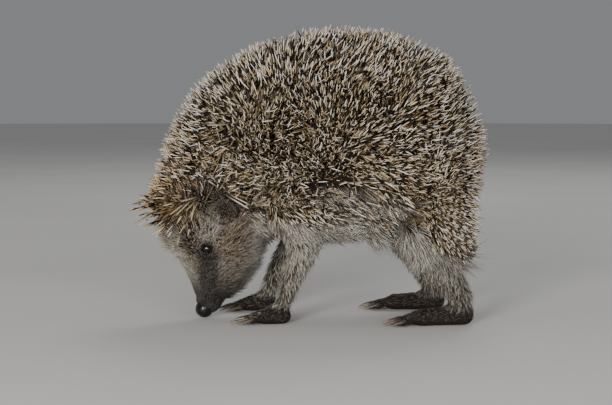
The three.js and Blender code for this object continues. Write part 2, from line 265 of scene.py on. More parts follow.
FLESH = [n for n in sorted(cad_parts) if kind_of(n) in KINDS]


def into_trunk(name, points):
    """A node's flesh, with its upper end reaching into the trunk or cut short of the rump's quills."""
    kind, height = kind_of(name), points[:, 2] / MM
    if kind in UNDER_HEM:
        points[points[:, 2] > HEM - HEM_NEAR, 2] += INTO_TRUNK
    if kind == "tail":
        points += np.outer(soft_step(*TAIL_RISE, height), TAIL_ROOT) * MM
    if kind == "thigh":
        behind = np.interp(height, THIGH_BACK["height"], THIGH_BACK["behind"]) * MM
        points[:, 0] = np.minimum(points[:, 0], behind)
    return points


def flesh_copy(kinds, lifted=False):
    """The flesh nodes of these kinds as one object of closed shells, grown until they touch."""
    copies = []
    for name in FLESH:
        if kind_of(name) not in kinds:
            continue
        copy = bpy.data.objects.new(name + "_flesh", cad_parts[name].data.copy())
        bpy.context.collection.objects.link(copy)
        kind = copy.data.attributes.new("kind", "INT", "FACE")
        kind.data.foreach_set("value", np.full(len(copy.data.polygons), KINDS.index(kind_of(name))))
        if lifted:
            move_points(copy, into_trunk(name, points_of(copy)))
        copies.append(copy)
    whole = copies[0]
    joined(whole, *copies[1:])
    whole.data.materials.clear()
    bpy.ops.object.mode_set(mode="EDIT")
    bpy.ops.mesh.select_all(action="SELECT")
    bpy.ops.mesh.remove_doubles(threshold=0.001 * MM)
    bpy.ops.transform.shrink_fatten(value=BRIDGE)
    bpy.ops.object.mode_set(mode="OBJECT")
    return whole


def face_kinds(piece):
    return gathered(piece.data.attributes["kind"].data, "value", kind=int)


def tree_of(piece):
    """The surface of a piece, ready to be searched."""
    places = [v.co.copy() for v in piece.data.vertices]
    return BVHTree.FromPolygons(places, [p.vertices[:] for p in piece.data.polygons])


def kinds_near(points, tree, kinds):
    """The body part nearest to each place."""
    return np.array([kinds[tree.find_nearest(Vector(p))[2]] for p in points])


THIN_SHARE = 0.36  # of the thickness, so that opposite sides do not meet
JUST_INSIDE = 0.2 * MM
FAR = 1.0  # metres, further than any place on the animal


def thickness(piece):
    """How far it is through the piece, inwards from each vertex."""
    tree = tree_of(piece)
    found = []
    for point, normal in zip(points_of(piece), normals_of(piece)):
        distance = tree.ray_cast(Vector(point - normal * JUST_INSIDE), Vector(-normal))[3]
        found.append(FAR if distance is None else distance)
    return np.array(found)


def largest_shell(piece):
    """Removes every loose part of a surface but the largest, such as the walls of closed hollows."""
    edges = edges_of(piece)
    part = np.arange(len(piece.data.vertices))
    changed = True
    while changed:
        lowest = part.copy()
        np.minimum.at(lowest, edges[:, 0], part[edges[:, 1]])
        np.minimum.at(lowest, edges[:, 1], part[edges[:, 0]])
        lowest = lowest[lowest]
        changed = not np.array_equal(lowest, part)
        part = lowest
    kept = np.bincount(part).argmax()
    corners, starts = corners_of(piece)
    edit_faces(piece, part[corners[starts]] != kept, bpy.ops.mesh.delete, type="FACE")


EVEN_DEPTH = 8 * MM  # each evening takes a share that is the depth over this, up to a half


def drawn_in(piece, depth, steps):
    """Moves a surface inwards by a depth at each vertex, evening it out on the way."""
    edges = edges_of(piece)
    for _ in range(steps):
        inward = unit(smoothed(normals_of(piece), edges, 6))
        move_points(piece, points_of(piece) - inward * (depth / steps)[:, None])
        move_points(piece, smoothed(points_of(piece), edges, 3, np.clip(depth / EVEN_DEPTH, 0, 0.5)))


def body_flesh():
    """The nodes of the body parts without quills as a closed surface, drawn in to the skin."""
    group = flesh_copy(BODY, lifted=True)
    shells, tree = face_kinds(group), tree_of(group)
    apply_modifier(group, "REMESH", mode="VOXEL", voxel_size=VOXEL)
    near = kinds_near(points_of(group), tree, shells)
    depth = np.array([BODY.get(kind, 0) for kind in KINDS])[near] * MM
    depth[(near == KINDS.index("thigh")) & (under_quills(points_of(group)) > 0)] = THIGH_QUILL_DEPTH
    depth = np.minimum(depth, THIN_SHARE * thickness(group))
    depth = smoothed(depth, edges_of(group), 8)
    fair(group, 12, np.clip(depth / (3 * MM), 0.1, 0.6))
    drawn_in(group, depth, 6)
    return group


def lump(place, half):
    """An ellipsoid of flesh in the head's frame."""
    pick_none()
    bpy.ops.mesh.primitive_uv_sphere_add(segments=48, ring_count=24, radius=1)
    piece = bpy.context.object
    axes = np.stack([SNOUT, HEAD_LEFT, FOREHEAD])
    move_points(piece, on_head(*place) + (points_of(piece) * half * MM) @ axes)
    return piece


def tips_surface():
    """The surface through the tips of the whole coat, and the body part of each of its faces."""
    shells = flesh_copy(KINDS)
    tree, kinds = tree_of(shells), face_kinds(shells)
    apply_modifier(shells, "REMESH", mode="VOXEL", voxel_size=1.6 * VOXEL)
    fair(shells, 3, 0.4)
    middles = np.array([p.center[:] for p in shells.data.polygons])
    found = tree_of(shells), kinds_near(middles, tree, kinds)
    bpy.data.objects.remove(shells)
    return found


# How far the tips of the coat stand beyond the nodes, in millimetres, at angles round the body seen from its
# side: 0 is rearward, 90 is up and 180 is forward.
FULLER_CENTRE = np.array([10, 75]) * MM
FULLER = {
    "angle": (-25, -10, 3, 12, 22, 35, 45, 59, 70, 81, 107, 120, 133, 149, 158, 165, 172, 181, 185, 189, 200),
    "beyond": (2, 1, 0, 0, -2.5, -2.5, 0, -1, 0, 1, 1, 2.3, 3, 2.5, 0.5, -1, -2.5, -6, -4, 2, 2),
}


def fuller(points):
    """How far the coat stands beyond the nodes at each place, in millimetres."""
    across, up = (np.asarray(points)[:, [0, 2]] - FULLER_CENTRE).T
    angle = (np.degrees(np.arctan2(up, across)) + 90) % 360 - 90
    return np.interp(angle, FULLER["angle"], FULLER["beyond"]) * soft_step(0, 40, np.hypot(across, up) / MM)


def hull_of(kinds):
    """The convex hull of the nodes of these kinds."""
    hull = flesh_copy(kinds)
    bpy.ops.object.mode_set(mode="EDIT")
    bpy.ops.mesh.select_all(action="SELECT")
    bpy.ops.mesh.convex_hull()
    bpy.ops.object.mode_set(mode="OBJECT")
    return hull


FACES_DOWN = -0.86  # the underside is all that leans at least this far down


def shrunk_hull(kinds, depth, hem_depth):
    """The convex hull of some nodes drawn in by a depth, and by the hem's depth on its underside."""
    hull = hull_of(kinds)
    faces = hull.data.polygons
    outward = np.array([f.normal[:] for f in faces])
    centre = points_of(hull).mean(axis=0)
    reach = ((np.array([f.center[:] for f in faces]) - centre) * outward).sum(axis=1)
    reach -= np.where(outward[:, 2] < FACES_DOWN, hem_depth, depth)
    bpy.data.objects.remove(hull)
    pick_none()
    bpy.ops.mesh.primitive_ico_sphere_add(subdivisions=6, radius=1)
    piece = bpy.context.object
    way = unit(points_of(piece))
    facing = way @ outward.T
    share = np.where(facing > 1e-6, reach / np.maximum(facing, 1e-6), np.inf).min(axis=1)
    move_points(piece, centre + way * share[:, None])
    fair(piece, 10, 0.5)
    trim = np.minimum(fuller(points_of(piece)), 0) * MM
    move_points(piece, points_of(piece) + normals_of(piece) * trim[:, None])
    return piece


def quill_tips():
    """The surface through the tips of the quills, from hood to rump and over the thighs."""
    shells = hull_of(HOOD)
    joined(shells, hull_of(TRUNK), flesh_copy(("thigh",)))
    apply_modifier(shells, "REMESH", mode="VOXEL", voxel_size=1.7 * VOXEL)
    fair(shells, 4, 0.5)
    move_points(shells, points_of(shells) + normals_of(shells) * fuller(points_of(shells))[:, None] * MM)
    tree = tree_of(shells)
    bpy.data.objects.remove(shells)
    return tree


def behind_edge(points):
    """How far each place lies behind the edge of the quills over the brow and ears, in millimetres."""
    ahead, _, over = in_head(points).T
    slope = BROW_EDGE["slope"]
    behind_brow = (slope * (over - BROW_EDGE["over"]) - (ahead - BROW_EDGE["ahead"])) / math.hypot(1, slope)
    return np.maximum(behind_brow, EAR_EDGE - ahead)


def refine(piece, chosen):
    """Halves the faces round these vertices."""
    corners, starts = corners_of(piece)
    edit_faces(piece, np.logical_and.reduceat(chosen[corners], starts), bpy.ops.mesh.subdivide, number_cuts=1)


# The eye, in millimetres.
EYE_RADIUS = 2.7
EYE_OUTWARD = {hand: unit(on_head(0.22, side * 0.86, 0.46) - HEAD_CENTRE) for hand, side in HANDS.items()}
EYE_SLIT = {"long": 2.5, "high": 1.95}  # half sizes of the opening between the lids
LID_TOP = 2.3  # how far the lids' edges stand out from the middle of the ball
LID_FOOT = {"reach": 3.3, "height": 1.1}
LID_BLEND = 8.5  # where the raised skin round the eye runs out


def eye_frame(hand):
    """Outward, along the slit towards the nose, and across it."""
    outward = EYE_OUTWARD[hand]
    along = unit(SNOUT - outward * (SNOUT @ outward))
    return outward, along, np.cross(outward, along)


def shape_lids(points, hand):
    """Raises the skin round an eye into two thick-edged lids, and drops it behind the ball between them."""
    outward, along, across = eye_frame(hand)
    away = (points - EYES_AT[hand]) / MM
    h, a, b = away @ outward, away @ along, away @ across
    reach = np.hypot(a, b)
    slit = np.hypot(a / EYE_SLIT["long"], b / EYE_SLIT["high"])
    down_lid = soft_step(1.0, LID_FOOT["reach"] / EYE_SLIT["high"], slit)
    lid = LID_TOP + (LID_FOOT["height"] - LID_TOP) * down_lid
    lid -= 0.12 * np.maximum(reach - LID_FOOT["reach"], 0)
    lid += 0.08 * np.exp(-(((slit - 1.2) / 0.12) ** 2)) - 0.12 * np.exp(-(((slit - 1.62) / 0.13) ** 2))
    behind = np.sqrt(np.maximum((EYE_RADIUS - 0.7) ** 2 - reach**2, 0))
    shut = soft_step(0.95, 1.05, slit)
    target = behind + (lid - behind) * shut
    near = (1 - soft_step(LID_FOOT["reach"], LID_BLEND, reach)) * (h > -5)
    return points + outward * ((target - h) * near * MM)[:, None]


EAR_PLACE = (-6.6, 23, 9.6)  # middle of the left ear in the head's frame
EAR_LONG, EAR_WIDE, EAR_BOWL = 6.8, 7.2, 3.0  # half length, half width and depth of the bowl
EAR_BACK = -1.2  # the bottom of the bowl


def ear_frame(hand):
    """Middle of the ear, towards its tip, out of its bowl, and across."""
    side = HANDS[hand]
    tipward = unit(on_head(-0.72, side * 0.5, 0.5) - HEAD_CENTRE)
    openward = unit(on_head(0.62, side * 0.78, 0.1) - HEAD_CENTRE)
    ahead, left, over = EAR_PLACE
    return on_head(ahead, side * left, over), tipward, openward, np.cross(tipward, openward)


EARS = [ear_frame(hand)[0] for hand in HANDS]
EYES = [EYES_AT[hand] for hand in HANDS]


def shape_ear(points, hand):
    """Flattens the lump at the side of the head into an ear and hollows it into a bowl."""
    centre, tipward, openward, across = ear_frame(hand)
    away = (points - centre) / MM
    t, o, w = away @ tipward, away @ openward, away @ across
    round_ear = np.hypot(t / EAR_LONG, w / EAR_WIDE)
    bowl = EAR_BACK + EAR_BOWL * round_ear**2.4
    inside = (1 - soft_step(0.82, 1.05, round_ear)) * (o > -3) * (t > -4.5)
    pressed = np.minimum(o, bowl) - o
    return points + openward * (pressed * inside * MM)[:, None]


# The line of the mouth, in the head's frame: where it runs ahead, its height over at one place, and its fall.
MOUTH = {"from": 19, "to": 43.5, "over": -4.4, "at": 35, "fall": 0.33, "deep": 0.75, "wide": 0.5}


def shape_mouth(points, normals):
    """Presses the line of the mouth into the sides of the muzzle and under the nose."""
    ahead, _, over = in_head(points).T
    line = MOUTH["over"] - (MOUTH["at"] - ahead) * MOUTH["fall"]
    depth = MOUTH["deep"] * np.exp(-(((over - line) / MOUTH["wide"]) ** 2))
    depth *= soft_step(MOUTH["from"], MOUTH["from"] + 5, ahead)
    depth *= 1 - soft_step(MOUTH["to"] - 1, MOUTH["to"], ahead)
    return points - normals * (depth * MM)[:, None]


def capsule(points, start, end, radius):
    """1 near the line between two places, fading to 0 at the radius, all in millimetres."""
    start, end = np.asarray(start, float), np.asarray(end, float)
    t = np.clip(((points - start) @ (end - start)) / ((end - start) @ (end - start)), 0, 1)
    away = np.linalg.norm(points - (start + t[:, None] * (end - start)), axis=1)
    return 1 - soft_step(0.35 * radius, radius, away)


# The furrows between the toes, in millimetres.
TOE_GROOVE = {"front": 2, "back": 8, "radius": 1.5, "deep": 1.1, "highest": 13}


def claw_line(node):
    """The root and the tip of a claw, at mid height."""
    points = np.array([v.co[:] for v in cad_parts[node].data.vertices])
    middle_at = points.mean(axis=0)
    way = np.linalg.svd((points - middle_at)[:, :2], full_matrices=False)[2][0]
    share = (points - middle_at)[:, :2] @ way
    tip, root = sorted((points[share.argmin()], points[share.argmax()]), key=lambda p: p[2])
    return root, tip


def shape_toes(points, normals):
    """Presses furrows into the feet between neighbouring toes."""
    pressed = np.zeros(len(points))
    on_top = (points[:, 2] < TOE_GROOVE["highest"] * MM) * (normals[:, 2] > -0.2)
    for foot in ("fore_left", "fore_right", "hind_left", "hind_right"):
        lines = [claw_line(n) for n in sorted(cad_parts) if n.startswith(f"claw_{foot}")]
        for (root, tip), (next_root, next_tip) in zip(lines, lines[1:]):
            between = (root + next_root) / 2
            back = unit((root - tip + next_root - next_tip) * [1, 1, 0])
            start = between - back * TOE_GROOVE["front"] * MM
            end = between + back * TOE_GROOVE["back"] * MM
            away = capsule(points[:, :2] / MM, start[:2] / MM, end[:2] / MM, TOE_GROOVE["radius"])
            pressed = np.maximum(pressed, away * on_top)
    return points - normals * (pressed * TOE_GROOVE["deep"] * MM)[:, None]


BROW_BLEND = 6.0  # how far the forehead and the hood of quills blend
HEAD_REACH, EAR_REACH = 46, 9  # within this of the head's middle, and further than this from the ears
FACE_FROM = -12  # the face has finer faces from here on ahead, and the feet have them all over
FINE_REACHES = ((9, 10), (5.5, 0))  # each halves the faces again, within so much of the eyes and of the ears
LID_REACH = (5, 12)  # the skin is evened out most nearer an eye than the first, least beyond the second


def among(kinds, *names):
    """Which of these kinds are one of the named body parts."""
    return np.isin(kinds, [KINDS.index(name) for name in names])


def coat_kinds(points, outer, outer_kinds):
    """The body part whose coat covers each place. Quills cover the thighs behind their edge, and the flank over
    the hem."""
    kinds = kinds_near(points, outer, outer_kinds)
    kinds[among(kinds, "thigh") & (under_quills(points) > 0)] = KINDS.index("rump")
    over_hem = (points[:, 2] > HEM + FLANK_OVER_HEM) & (points[:, 0] > FLANK_FROM)
    kinds[among(kinds, *UNDER_HEM, "thigh") & over_hem] = KINDS.index("back")
    return kinds


def blend_brow(body):
    """Evens out the step where the forehead passes under the hood of quills."""
    points = points_of(body)
    near_brow = np.exp(-((behind_edge(points) / BROW_BLEND) ** 2))
    near_brow *= np.linalg.norm(in_head(points), axis=1) < HEAD_REACH
    near_brow *= from_nearest(points, EARS) > EAR_REACH
    fair(body, 6, 0.5)
    edges = edges_of(body)
    move_points(body, smoothed(points_of(body), edges, 14, 0.5 * smoothed(near_brow, edges, 3)))


def refine_face_and_feet(body, kinds):
    """Makes the faces small enough for the lids, the ears, the mouth and the toes."""
    face = among(kinds, "head", "muzzle", "lower_jaw", "ear") & (in_head(points_of(body))[:, 0] > FACE_FROM)
    refine(body, face | among(kinds, "forefoot", "hindfoot"))
    for eye_reach, ear_reach in FINE_REACHES:
        points = points_of(body)
        refine(body, (from_nearest(points, EYES) < eye_reach) | (from_nearest(points, EARS) < ear_reach))
    fair(body, 10, 0.15 + 0.45 * (1 - soft_step(*LID_REACH, from_nearest(points_of(body), EYES))))


def make_skin():
    """One closed skin under the tips of the coat, and the body part whose coat covers each vertex."""
    outer, outer_kinds = tips_surface()
    trunk = shrunk_hull(TRUNK, QUILL_DEPTH, HEM_DEPTH)
    hood = shrunk_hull(HOOD, HOOD_DEPTH, HOOD_DEPTH)
    body = body_flesh()
    joined(body, trunk, hood, *[lump(*LUMPS[name]) for name in LUMPS])
    body.name = body.data.name = "skin"
    apply_modifier(body, "REMESH", mode="VOXEL", voxel_size=VOXEL)
    largest_shell(body)
    blend_brow(body)
    refine_face_and_feet(body, kinds_near(points_of(body), outer, outer_kinds))
    points = points_of(body)
    for hand in HANDS:
        points = shape_ear(shape_lids(points, hand), hand)
    move_points(body, points)
    move_points(body, shape_mouth(points_of(body), normals_of(body)))
    move_points(body, shape_toes(points_of(body), normals_of(body)))
    for polygon in body.data.polygons:
        polygon.use_smooth = True
    return body, coat_kinds(points_of(body), outer, outer_kinds)


tips = quill_tips()
skin, kinds = make_skin()
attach(skin, "root")
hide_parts(*FLESH)
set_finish(skin, "body_fur")

skin_points = points_of(skin)
skin_normals = normals_of(skin)
skin_edges = edges_of(skin)


def is_kind(*names):
    """Which skin vertices the coat of these body parts covers."""
    return among(kinds, *names)


def by_kind(values):
    """A value for each skin vertex from its body part, evened out over the borders."""
    table = np.array([values[k] for k in KINDS], float)
    return smoothed(table[kinds], skin_edges, 6)


# ---- markings and painted shade, the same on skin, fur and quills ----

# Soft strokes that mark the head, and one of painted shade in the bowl of the ear, in its frame and
# millimetres: from, to, radius, and strength.
DARK_AND_SHADE_STROKES = (
    ((15, 15.5, 11), (36, 5.5, 2), 7, 0.85),  # from the eye to the nose
    ((12.6, 17, 11.6), (12.7, 17, 11.6), 4.2, 1),  # round the eye
    ((20, 8, -12), (38, 0, -4), 5, 0.6),  # along the lips
    ((-10, 25, 11), (-3, 25, 12), 6, 0.4),  # painted shade in the bowl of the ear
)
PALE_STROKES = (
    ((6, 15, 16), (4, 18.5, 11), 4.6, 0.6),  # behind the eye
    ((10, 6, 24), (38, 1, 6), 5.5, 0.75),  # down the forehead
    ((-1, 20, 15), (-3, 22, 13), 4, 0.8),  # in front of the ear
    ((-4, 20, -10), (22, 6, -14), 8, 0.7),  # under the jaw
)
WARM_STROKES = (
    ((12, 19, 2), (-2, 24, 2), 10, 0.5),  # over the cheek
    ((-4, 6, 24), (20, 6, 18), 11, 0.5),  # over the brow
)
FACE_MIDDLE = (12, 0, 0)  # the marks of the face end 40 to 52 mm from here


def stroked(points, strokes):
    """The strongest of some strokes at each place."""
    return np.maximum.reduce([capsule(points, *line) * strength for *line, strength in strokes])


def markings_and_shade(points):
    """How dark, how pale and how warm the coat is at each place, from 0 to 1. The darkness holds painted shade
    over the haunch and in the ear's bowl as well as the dark marks.
    """
    mirrored = in_head(points)
    mirrored[:, 1] = np.abs(mirrored[:, 1])
    ahead = mirrored[:, 0]
    back, _, height = np.asarray(points).T / MM
    from_face = np.linalg.norm(mirrored - FACE_MIDDLE, axis=1)
    in_face = soft_step(-24, -14, ahead) * (1 - soft_step(40, 52, from_face))
    on_body = 1 - in_face
    muzzle = soft_step(24, 38, ahead) * 0.95
    ear_rim = np.exp(-(((np.linalg.norm(mirrored - EAR_PLACE, axis=1) - EAR_LONG) / 1.1) ** 2)) * 0.55
    feet = (1 - soft_step(7, 16, height)) * on_body * 0.85
    legs = (1 - soft_step(12, 34, height)) * on_body * 0.35
    # painted shade: the body darker towards the rump, where the light falls away
    haunch = soft_step(30, 85, back) * on_body * 0.35
    fringe = soft_step(8, 46, height) * (1 - soft_step(60, 75, height)) * on_body * 0.85
    golden = soft_step(-45, -70, back) * soft_step(105, 80, height) * soft_step(34, 50, height) * 0.9
    dark = np.maximum(stroked(mirrored, DARK_AND_SHADE_STROKES), muzzle) * in_face
    pale = np.maximum(stroked(mirrored, PALE_STROKES), ear_rim) * in_face
    warm = stroked(mirrored, WARM_STROKES) * in_face
    # the dark marks together with the painted shade
    dark = np.maximum.reduce([dark, feet, legs, haunch])
    return np.stack([dark, np.maximum(pale, fringe), np.maximum(warm, golden)], axis=1)


def write(piece, name, values):
    """Writes a number or a vector for each vertex as an attribute of the piece."""
    kind, key = ("FLOAT", "value") if values.ndim == 1 else ("FLOAT_VECTOR", "vector")
    attribute = piece.data.attributes.new(name, kind, "POINT")
    attribute.data.foreach_set(key, values.astype(np.float32).ravel())


write(skin, "marks_and_shade", markings_and_shade(skin_points))

# ---- roots ----

PATCH = 0.003  # width of one hair's or quill's patch in the OFBake map
FLOOR_CLEAR = 0.05 * MM  # a hair that reaches the floor lies along it at this height


def part_of_skin(name, wanted):
    """A copy of the part of the skin where wanted, a value per vertex, is over 0, unwrapped on its own."""
    part = bpy.data.objects.new(name, skin.data.copy())
    bpy.context.collection.objects.link(part)
    number = part.data.attributes.new("skin_vertex", "INT", "POINT")
    number.data.foreach_set("value", np.arange(len(part.data.vertices)))
    corners, starts = corners_of(part)
    edit_faces(part, ~np.logical_or.reduceat(wanted[corners] > 0, starts), bpy.ops.mesh.delete, type="FACE")
    every = np.ones(len(part.data.polygons), bool)
    edit_faces(part, every, bpy.ops.uv.smart_project, angle_limit=math.radians(66), island_margin=PATCH)
    return part


def spaced(points, gap):
    """The indices of points taken in order, each at least a gap from those taken before."""
    taken, cells = [], {}
    homes = np.floor(points / gap).astype(int)
    around = [(i, j, k) for i in (-1, 0, 1) for j in (-1, 0, 1) for k in (-1, 0, 1)]
    for index, ((x, y, z), point) in enumerate(zip(map(tuple, homes), points)):
        near = [point - q for i, j, k in around for q in cells.get((x + i, y + j, z + k), ())]
        if all(a * a + b * b + c * c >= gap * gap for a, b, c in near):
            cells.setdefault((x, y, z), []).append(point)
            taken.append(index)
    return np.array(taken)


def strewn(name, weight, count, gap=None):
    """Roots strewn over the skin, as many for each area as the weight of its vertices says."""
    part = part_of_skin(name, weight)
    mesh = part.data
    mesh.calc_loop_triangles()
    loops = gathered(mesh.loop_triangles, "loops", 3, int)
    uv = gathered(mesh.uv_layers.active.data, "uv", 2)
    vertex = gathered(mesh.attributes["skin_vertex"].data, "value", kind=int)
    corners = vertex[gathered(mesh.loop_triangles, "vertices", 3, int)]
    a, b, c = (skin_points[corners[:, k]] for k in range(3))
    area = np.linalg.norm(np.cross(b - a, c - a), axis=1) * weight[corners].mean(axis=1)
    chosen = DRAW.choice(len(area), count, p=area / area.sum())
    share = DRAW.random((count, 2))
    share = np.where(share.sum(axis=1, keepdims=True) > 1, 1 - share, share)
    share = np.column_stack([1 - share.sum(axis=1), share])
    corners, places = corners[chosen], uv[loops[chosen]]
    points = (skin_points[corners] * share[:, :, None]).sum(axis=1)
    keep = np.arange(count) if gap is None else spaced(points, gap)
    bpy.data.objects.remove(part)
    return Roots(points[keep], corners[keep], share[keep], (places * share[:, :, None]).sum(axis=1)[keep])


class Roots:
    """Places on the skin where hairs or quills grow."""

    def __init__(self, points, corners, share, uv):
        self.points, self.corners, self.share, self.uv = points, corners, share, uv

    def __len__(self):
        return len(self.points)

    def read(self, values):
        """A value of the skin's vertices at each root."""
        share = self.share if np.ndim(values) == 1 else self.share[:, :, None]
        return (values[self.corners] * share).sum(axis=1)

    def some(self, keep):
        return Roots(self.points[keep], self.corners[keep], self.share[keep], self.uv[keep])


def spikes(name, roots, start, end, length, radius, profile, sides, flat=1.0):
    """One mesh of closed tapered spikes. Each leaves its root towards start and bends towards end. The profile
    is the share of the length and of the radius at each ring, and ends at the tip."""
    count = len(roots)
    along = np.array([p[0] for p in profile])
    girth = np.array([p[1] for p in profile[:-1]])
    middle_line = roots.points[:, None] + length[:, None, None] * (
        along[None, :, None] * start[:, None] + 0.5 * along[None, :, None] ** 2 * (end - start)[:, None]
    )
    across = unit(np.cross(roots.read(skin_normals), start) + 1e-6)
    upward = unit(np.cross(start, across))
    turn = 2 * math.pi * np.arange(sides) / sides
    ring = np.cos(turn)[None, :, None] * across[:, None]
    ring = ring + flat * np.sin(turn)[None, :, None] * upward[:, None]
    rings = middle_line[:, :-1, None] + (radius[:, None] * girth)[:, :, None, None] * ring[:, None]
    points = np.concatenate([rings.reshape(count, -1, 3), middle_line[:, -1:]], axis=1)
    points[..., 2] = np.maximum(points[..., 2], FLOOR_CLEAR)
    levels = len(girth)
    faces, places = [], []
    for level in range(levels):
        for side in range(sides):
            here, there = level * sides + side, level * sides + (side + 1) % sides
            u0, u1, v0 = side / sides, (side + 1) / sides, along[level]
            if level == levels - 1:
                faces.append((here, there, levels * sides))
                places.append(((u0, v0), (u1, v0), ((u0 + u1) / 2, 1)))
                continue
            v1 = along[level + 1]
            faces += [(here, there, there + sides), (here, there + sides, here + sides)]
            places += [((u0, v0), (u1, v0), (u1, v1)), ((u0, v0), (u1, v1), (u0, v1))]
    for side in range(1, sides - 1):
        faces.append((0, side + 1, side))
        places.append(((0, 0), (side / sides, 0.05), ((side + 1) / sides, 0)))
    faces = np.array(faces)[None] + (np.arange(count) * points.shape[1])[:, None, None]
    uv = roots.uv[:, None, None] + PATCH * (np.array(places)[None] - 0.5)
    mesh = bpy.data.meshes.new(name)
    mesh.vertices.add(points.shape[0] * points.shape[1])
    mesh.vertices.foreach_set("co", points.astype(np.float32).ravel())
    mesh.loops.add(faces.size)
    mesh.loops.foreach_set("vertex_index", faces.astype(np.int32).ravel())
    mesh.polygons.add(faces.size // 3)
    mesh.polygons.foreach_set("loop_start", np.arange(0, faces.size, 3, dtype=np.int32))
    mesh.polygons.foreach_set("use_smooth", np.ones(faces.size // 3, bool))
    mesh.update(calc_edges=True)
    layer = mesh.uv_layers.new(name="OFBake")
    layer.data.foreach_set("uv", uv.astype(np.float32).ravel())
    piece = bpy.data.objects.new(name, mesh)
    bpy.context.collection.objects.link(piece)
    per_spike = points.shape[1]
    level_of = np.append(np.repeat(along[:-1], sides), 1.0)
    write(piece, "along", np.tile(level_of, count))
    write(piece, "tint", np.repeat(DRAW.random(count), per_spike))
    write(piece, "marks_and_shade", np.repeat(markings_and_shade(roots.points), per_spike, axis=0))
    return piece


# ---- quills ----

QUILL_TRIES = 85000  # roots strewn for the quills, of which those too near to others are left out
QUILL_GAP = 1.1 * MM
QUILL_RADIUS = 0.4 * MM
QUILL_SHORT, QUILL_LONG = 8 * MM, 23 * MM
QUILL_PROFILE = ((0, 0.6), (0.35, 1.0), (0.78, 0.8), (0.93, 0.45), (1, 0))
QUILL_SIDES = 4
WHORL = np.array([-17, 0, 77]) * MM  # the quills of each flank lie away from here
WHORL_WIDE = 52 * MM  # nearer than this to it they lie less and point every way
QUILL_STAND, QUILL_LIE = 0.95, 0.62  # how much the quills stand up, and how much they lie away from the whorl
QUILL_SPREAD = 0.25
BUNCH_SIZE, BUNCH_LEAN = 6.5 * MM, 0.36
QUILL_PIECES = 4
SURE_GROUND = 0.4  # quills grow where the ground is more than this
FRINGE_GROUND, HIP_GROUND = 0.3, 0.6  # the fringe and the hip's fur grow where it is less than this
DOWN = np.array([0, 0, -1.0])
REARWARD = np.array([1.0, 0, 0])
BROW_LIFT = -0.3 * REARWARD - 0.35 * DOWN  # the quills over the brow stand forward
HAUNCH_FROM, HAUNCH_HIGH = 15 * MM, 70 * MM  # all quills behind this and lower than this point rearward
HAUNCH_BACK = 0.15  # by at least this much
FACE_CLEAR = -2.5  # no quill reaches further than this over the edge of the face, in millimetres
HOOD_TO = -30 * MM  # only the quills in front of this can reach the face
EAR_CLEAR = 9  # no quill comes nearer than this to the middle of an ear, in millimetres
BY_THE_EAR, BY_THE_FACE = (6, 10, 14, 18, 22), (8, 12, 16, 20)  # places along a quill, in millimetres
EDGE_BACK = 4.5  # how far behind the front edge of the quills the first of them grow, in millimetres


def quill_ground():
    """Where quills grow on the skin, from 0 to 1."""
    on_crown = is_kind("crown") & (behind_edge(skin_points) > EDGE_BACK)
    grown = is_kind("shoulders", "back", "rump") | on_crown
    facing_down = soft_step(0.6, 0.85, -skin_normals[:, 2])
    return smoothed(grown.astype(float) * (1 - facing_down), skin_edges, 2)


def to_tips(points, ways, least, most):
    """How far each place is from the tips of the coat along its way."""
    found = []
    for point, way in zip(points, ways):
        distance = tips.ray_cast(Vector(point), Vector(way))[3]
        found.append(least if distance is None else distance)
    return np.clip(found, least, most)


def waves(points, size, count=14):
    """A smooth random vector at each place, that turns over about the size."""
    turns = DRAW.normal(0, 1 / size, (count, 3))
    phase = DRAW.uniform(0, 2 * math.pi, count)
    push = unit(DRAW.normal(0, 1, (count, 3)))
    return np.sin(points @ turns.T + phase) @ push * math.sqrt(2 / count)


def quill_ways(roots):
    """The way each quill points: away from the whorl, but rearward low on the flank, downward low on the haunch
    and forward over the brow. Neighbours lean together in bunches and the bunches cross."""
    normal = unit(roots.read(skin_normals))
    back, _, height = roots.points.T / MM
    radial = (roots.points - WHORL) * [1, 0.3, 1]
    far = soft_step(0, WHORL_WIDE, np.linalg.norm(radial * [1, 0, 1], axis=1))[:, None]
    low = ((1 - soft_step(58, 80, height)) * soft_step(-52, -30, back))[:, None]
    drop = (0.1 + 1.2 * soft_step(15, 62, back) * soft_step(78, 42, height))[:, None]
    hang = 1.15 * REARWARD + drop * DOWN
    over_brow = (soft_step(-56, -74, back) * (1 - soft_step(66, 84, height)))[:, None]
    way = QUILL_STAND * normal * (1 - 0.35 * low) + QUILL_LIE * unit(radial) * far * (1 - 0.5 * low)
    way = unit(way + low * hang + over_brow * BROW_LIFT)
    bunch = waves(roots.points, BUNCH_SIZE) * BUNCH_LEAN * (1.5 - 0.5 * far)
    way = unit(way + bunch + DRAW.normal(0, 1, way.shape) * QUILL_SPREAD * (1.7 - 0.7 * far))
    haunch = (roots.points[:, 0] > HAUNCH_FROM) & (roots.points[:, 2] < HAUNCH_HIGH)
    way[:, 0] = np.where(haunch, np.maximum(way[:, 0], HAUNCH_BACK), way[:, 0])
    inward = np.minimum((way * normal).sum(axis=1, keepdims=True) - 0.25, 0)
    return unit(way - normal * inward)


def crossing(roots, ways):
    """Which quills would cross an ear or the face."""
    found = np.zeros(len(roots), bool)
    for reach in BY_THE_EAR:
        found |= from_nearest(roots.points + ways * reach * MM, EARS) < EAR_CLEAR
    for reach in BY_THE_FACE:
        found |= (behind_edge(roots.points + ways * reach * MM) < FACE_CLEAR) & (roots.points[:, 0] < HOOD_TO)
    return found


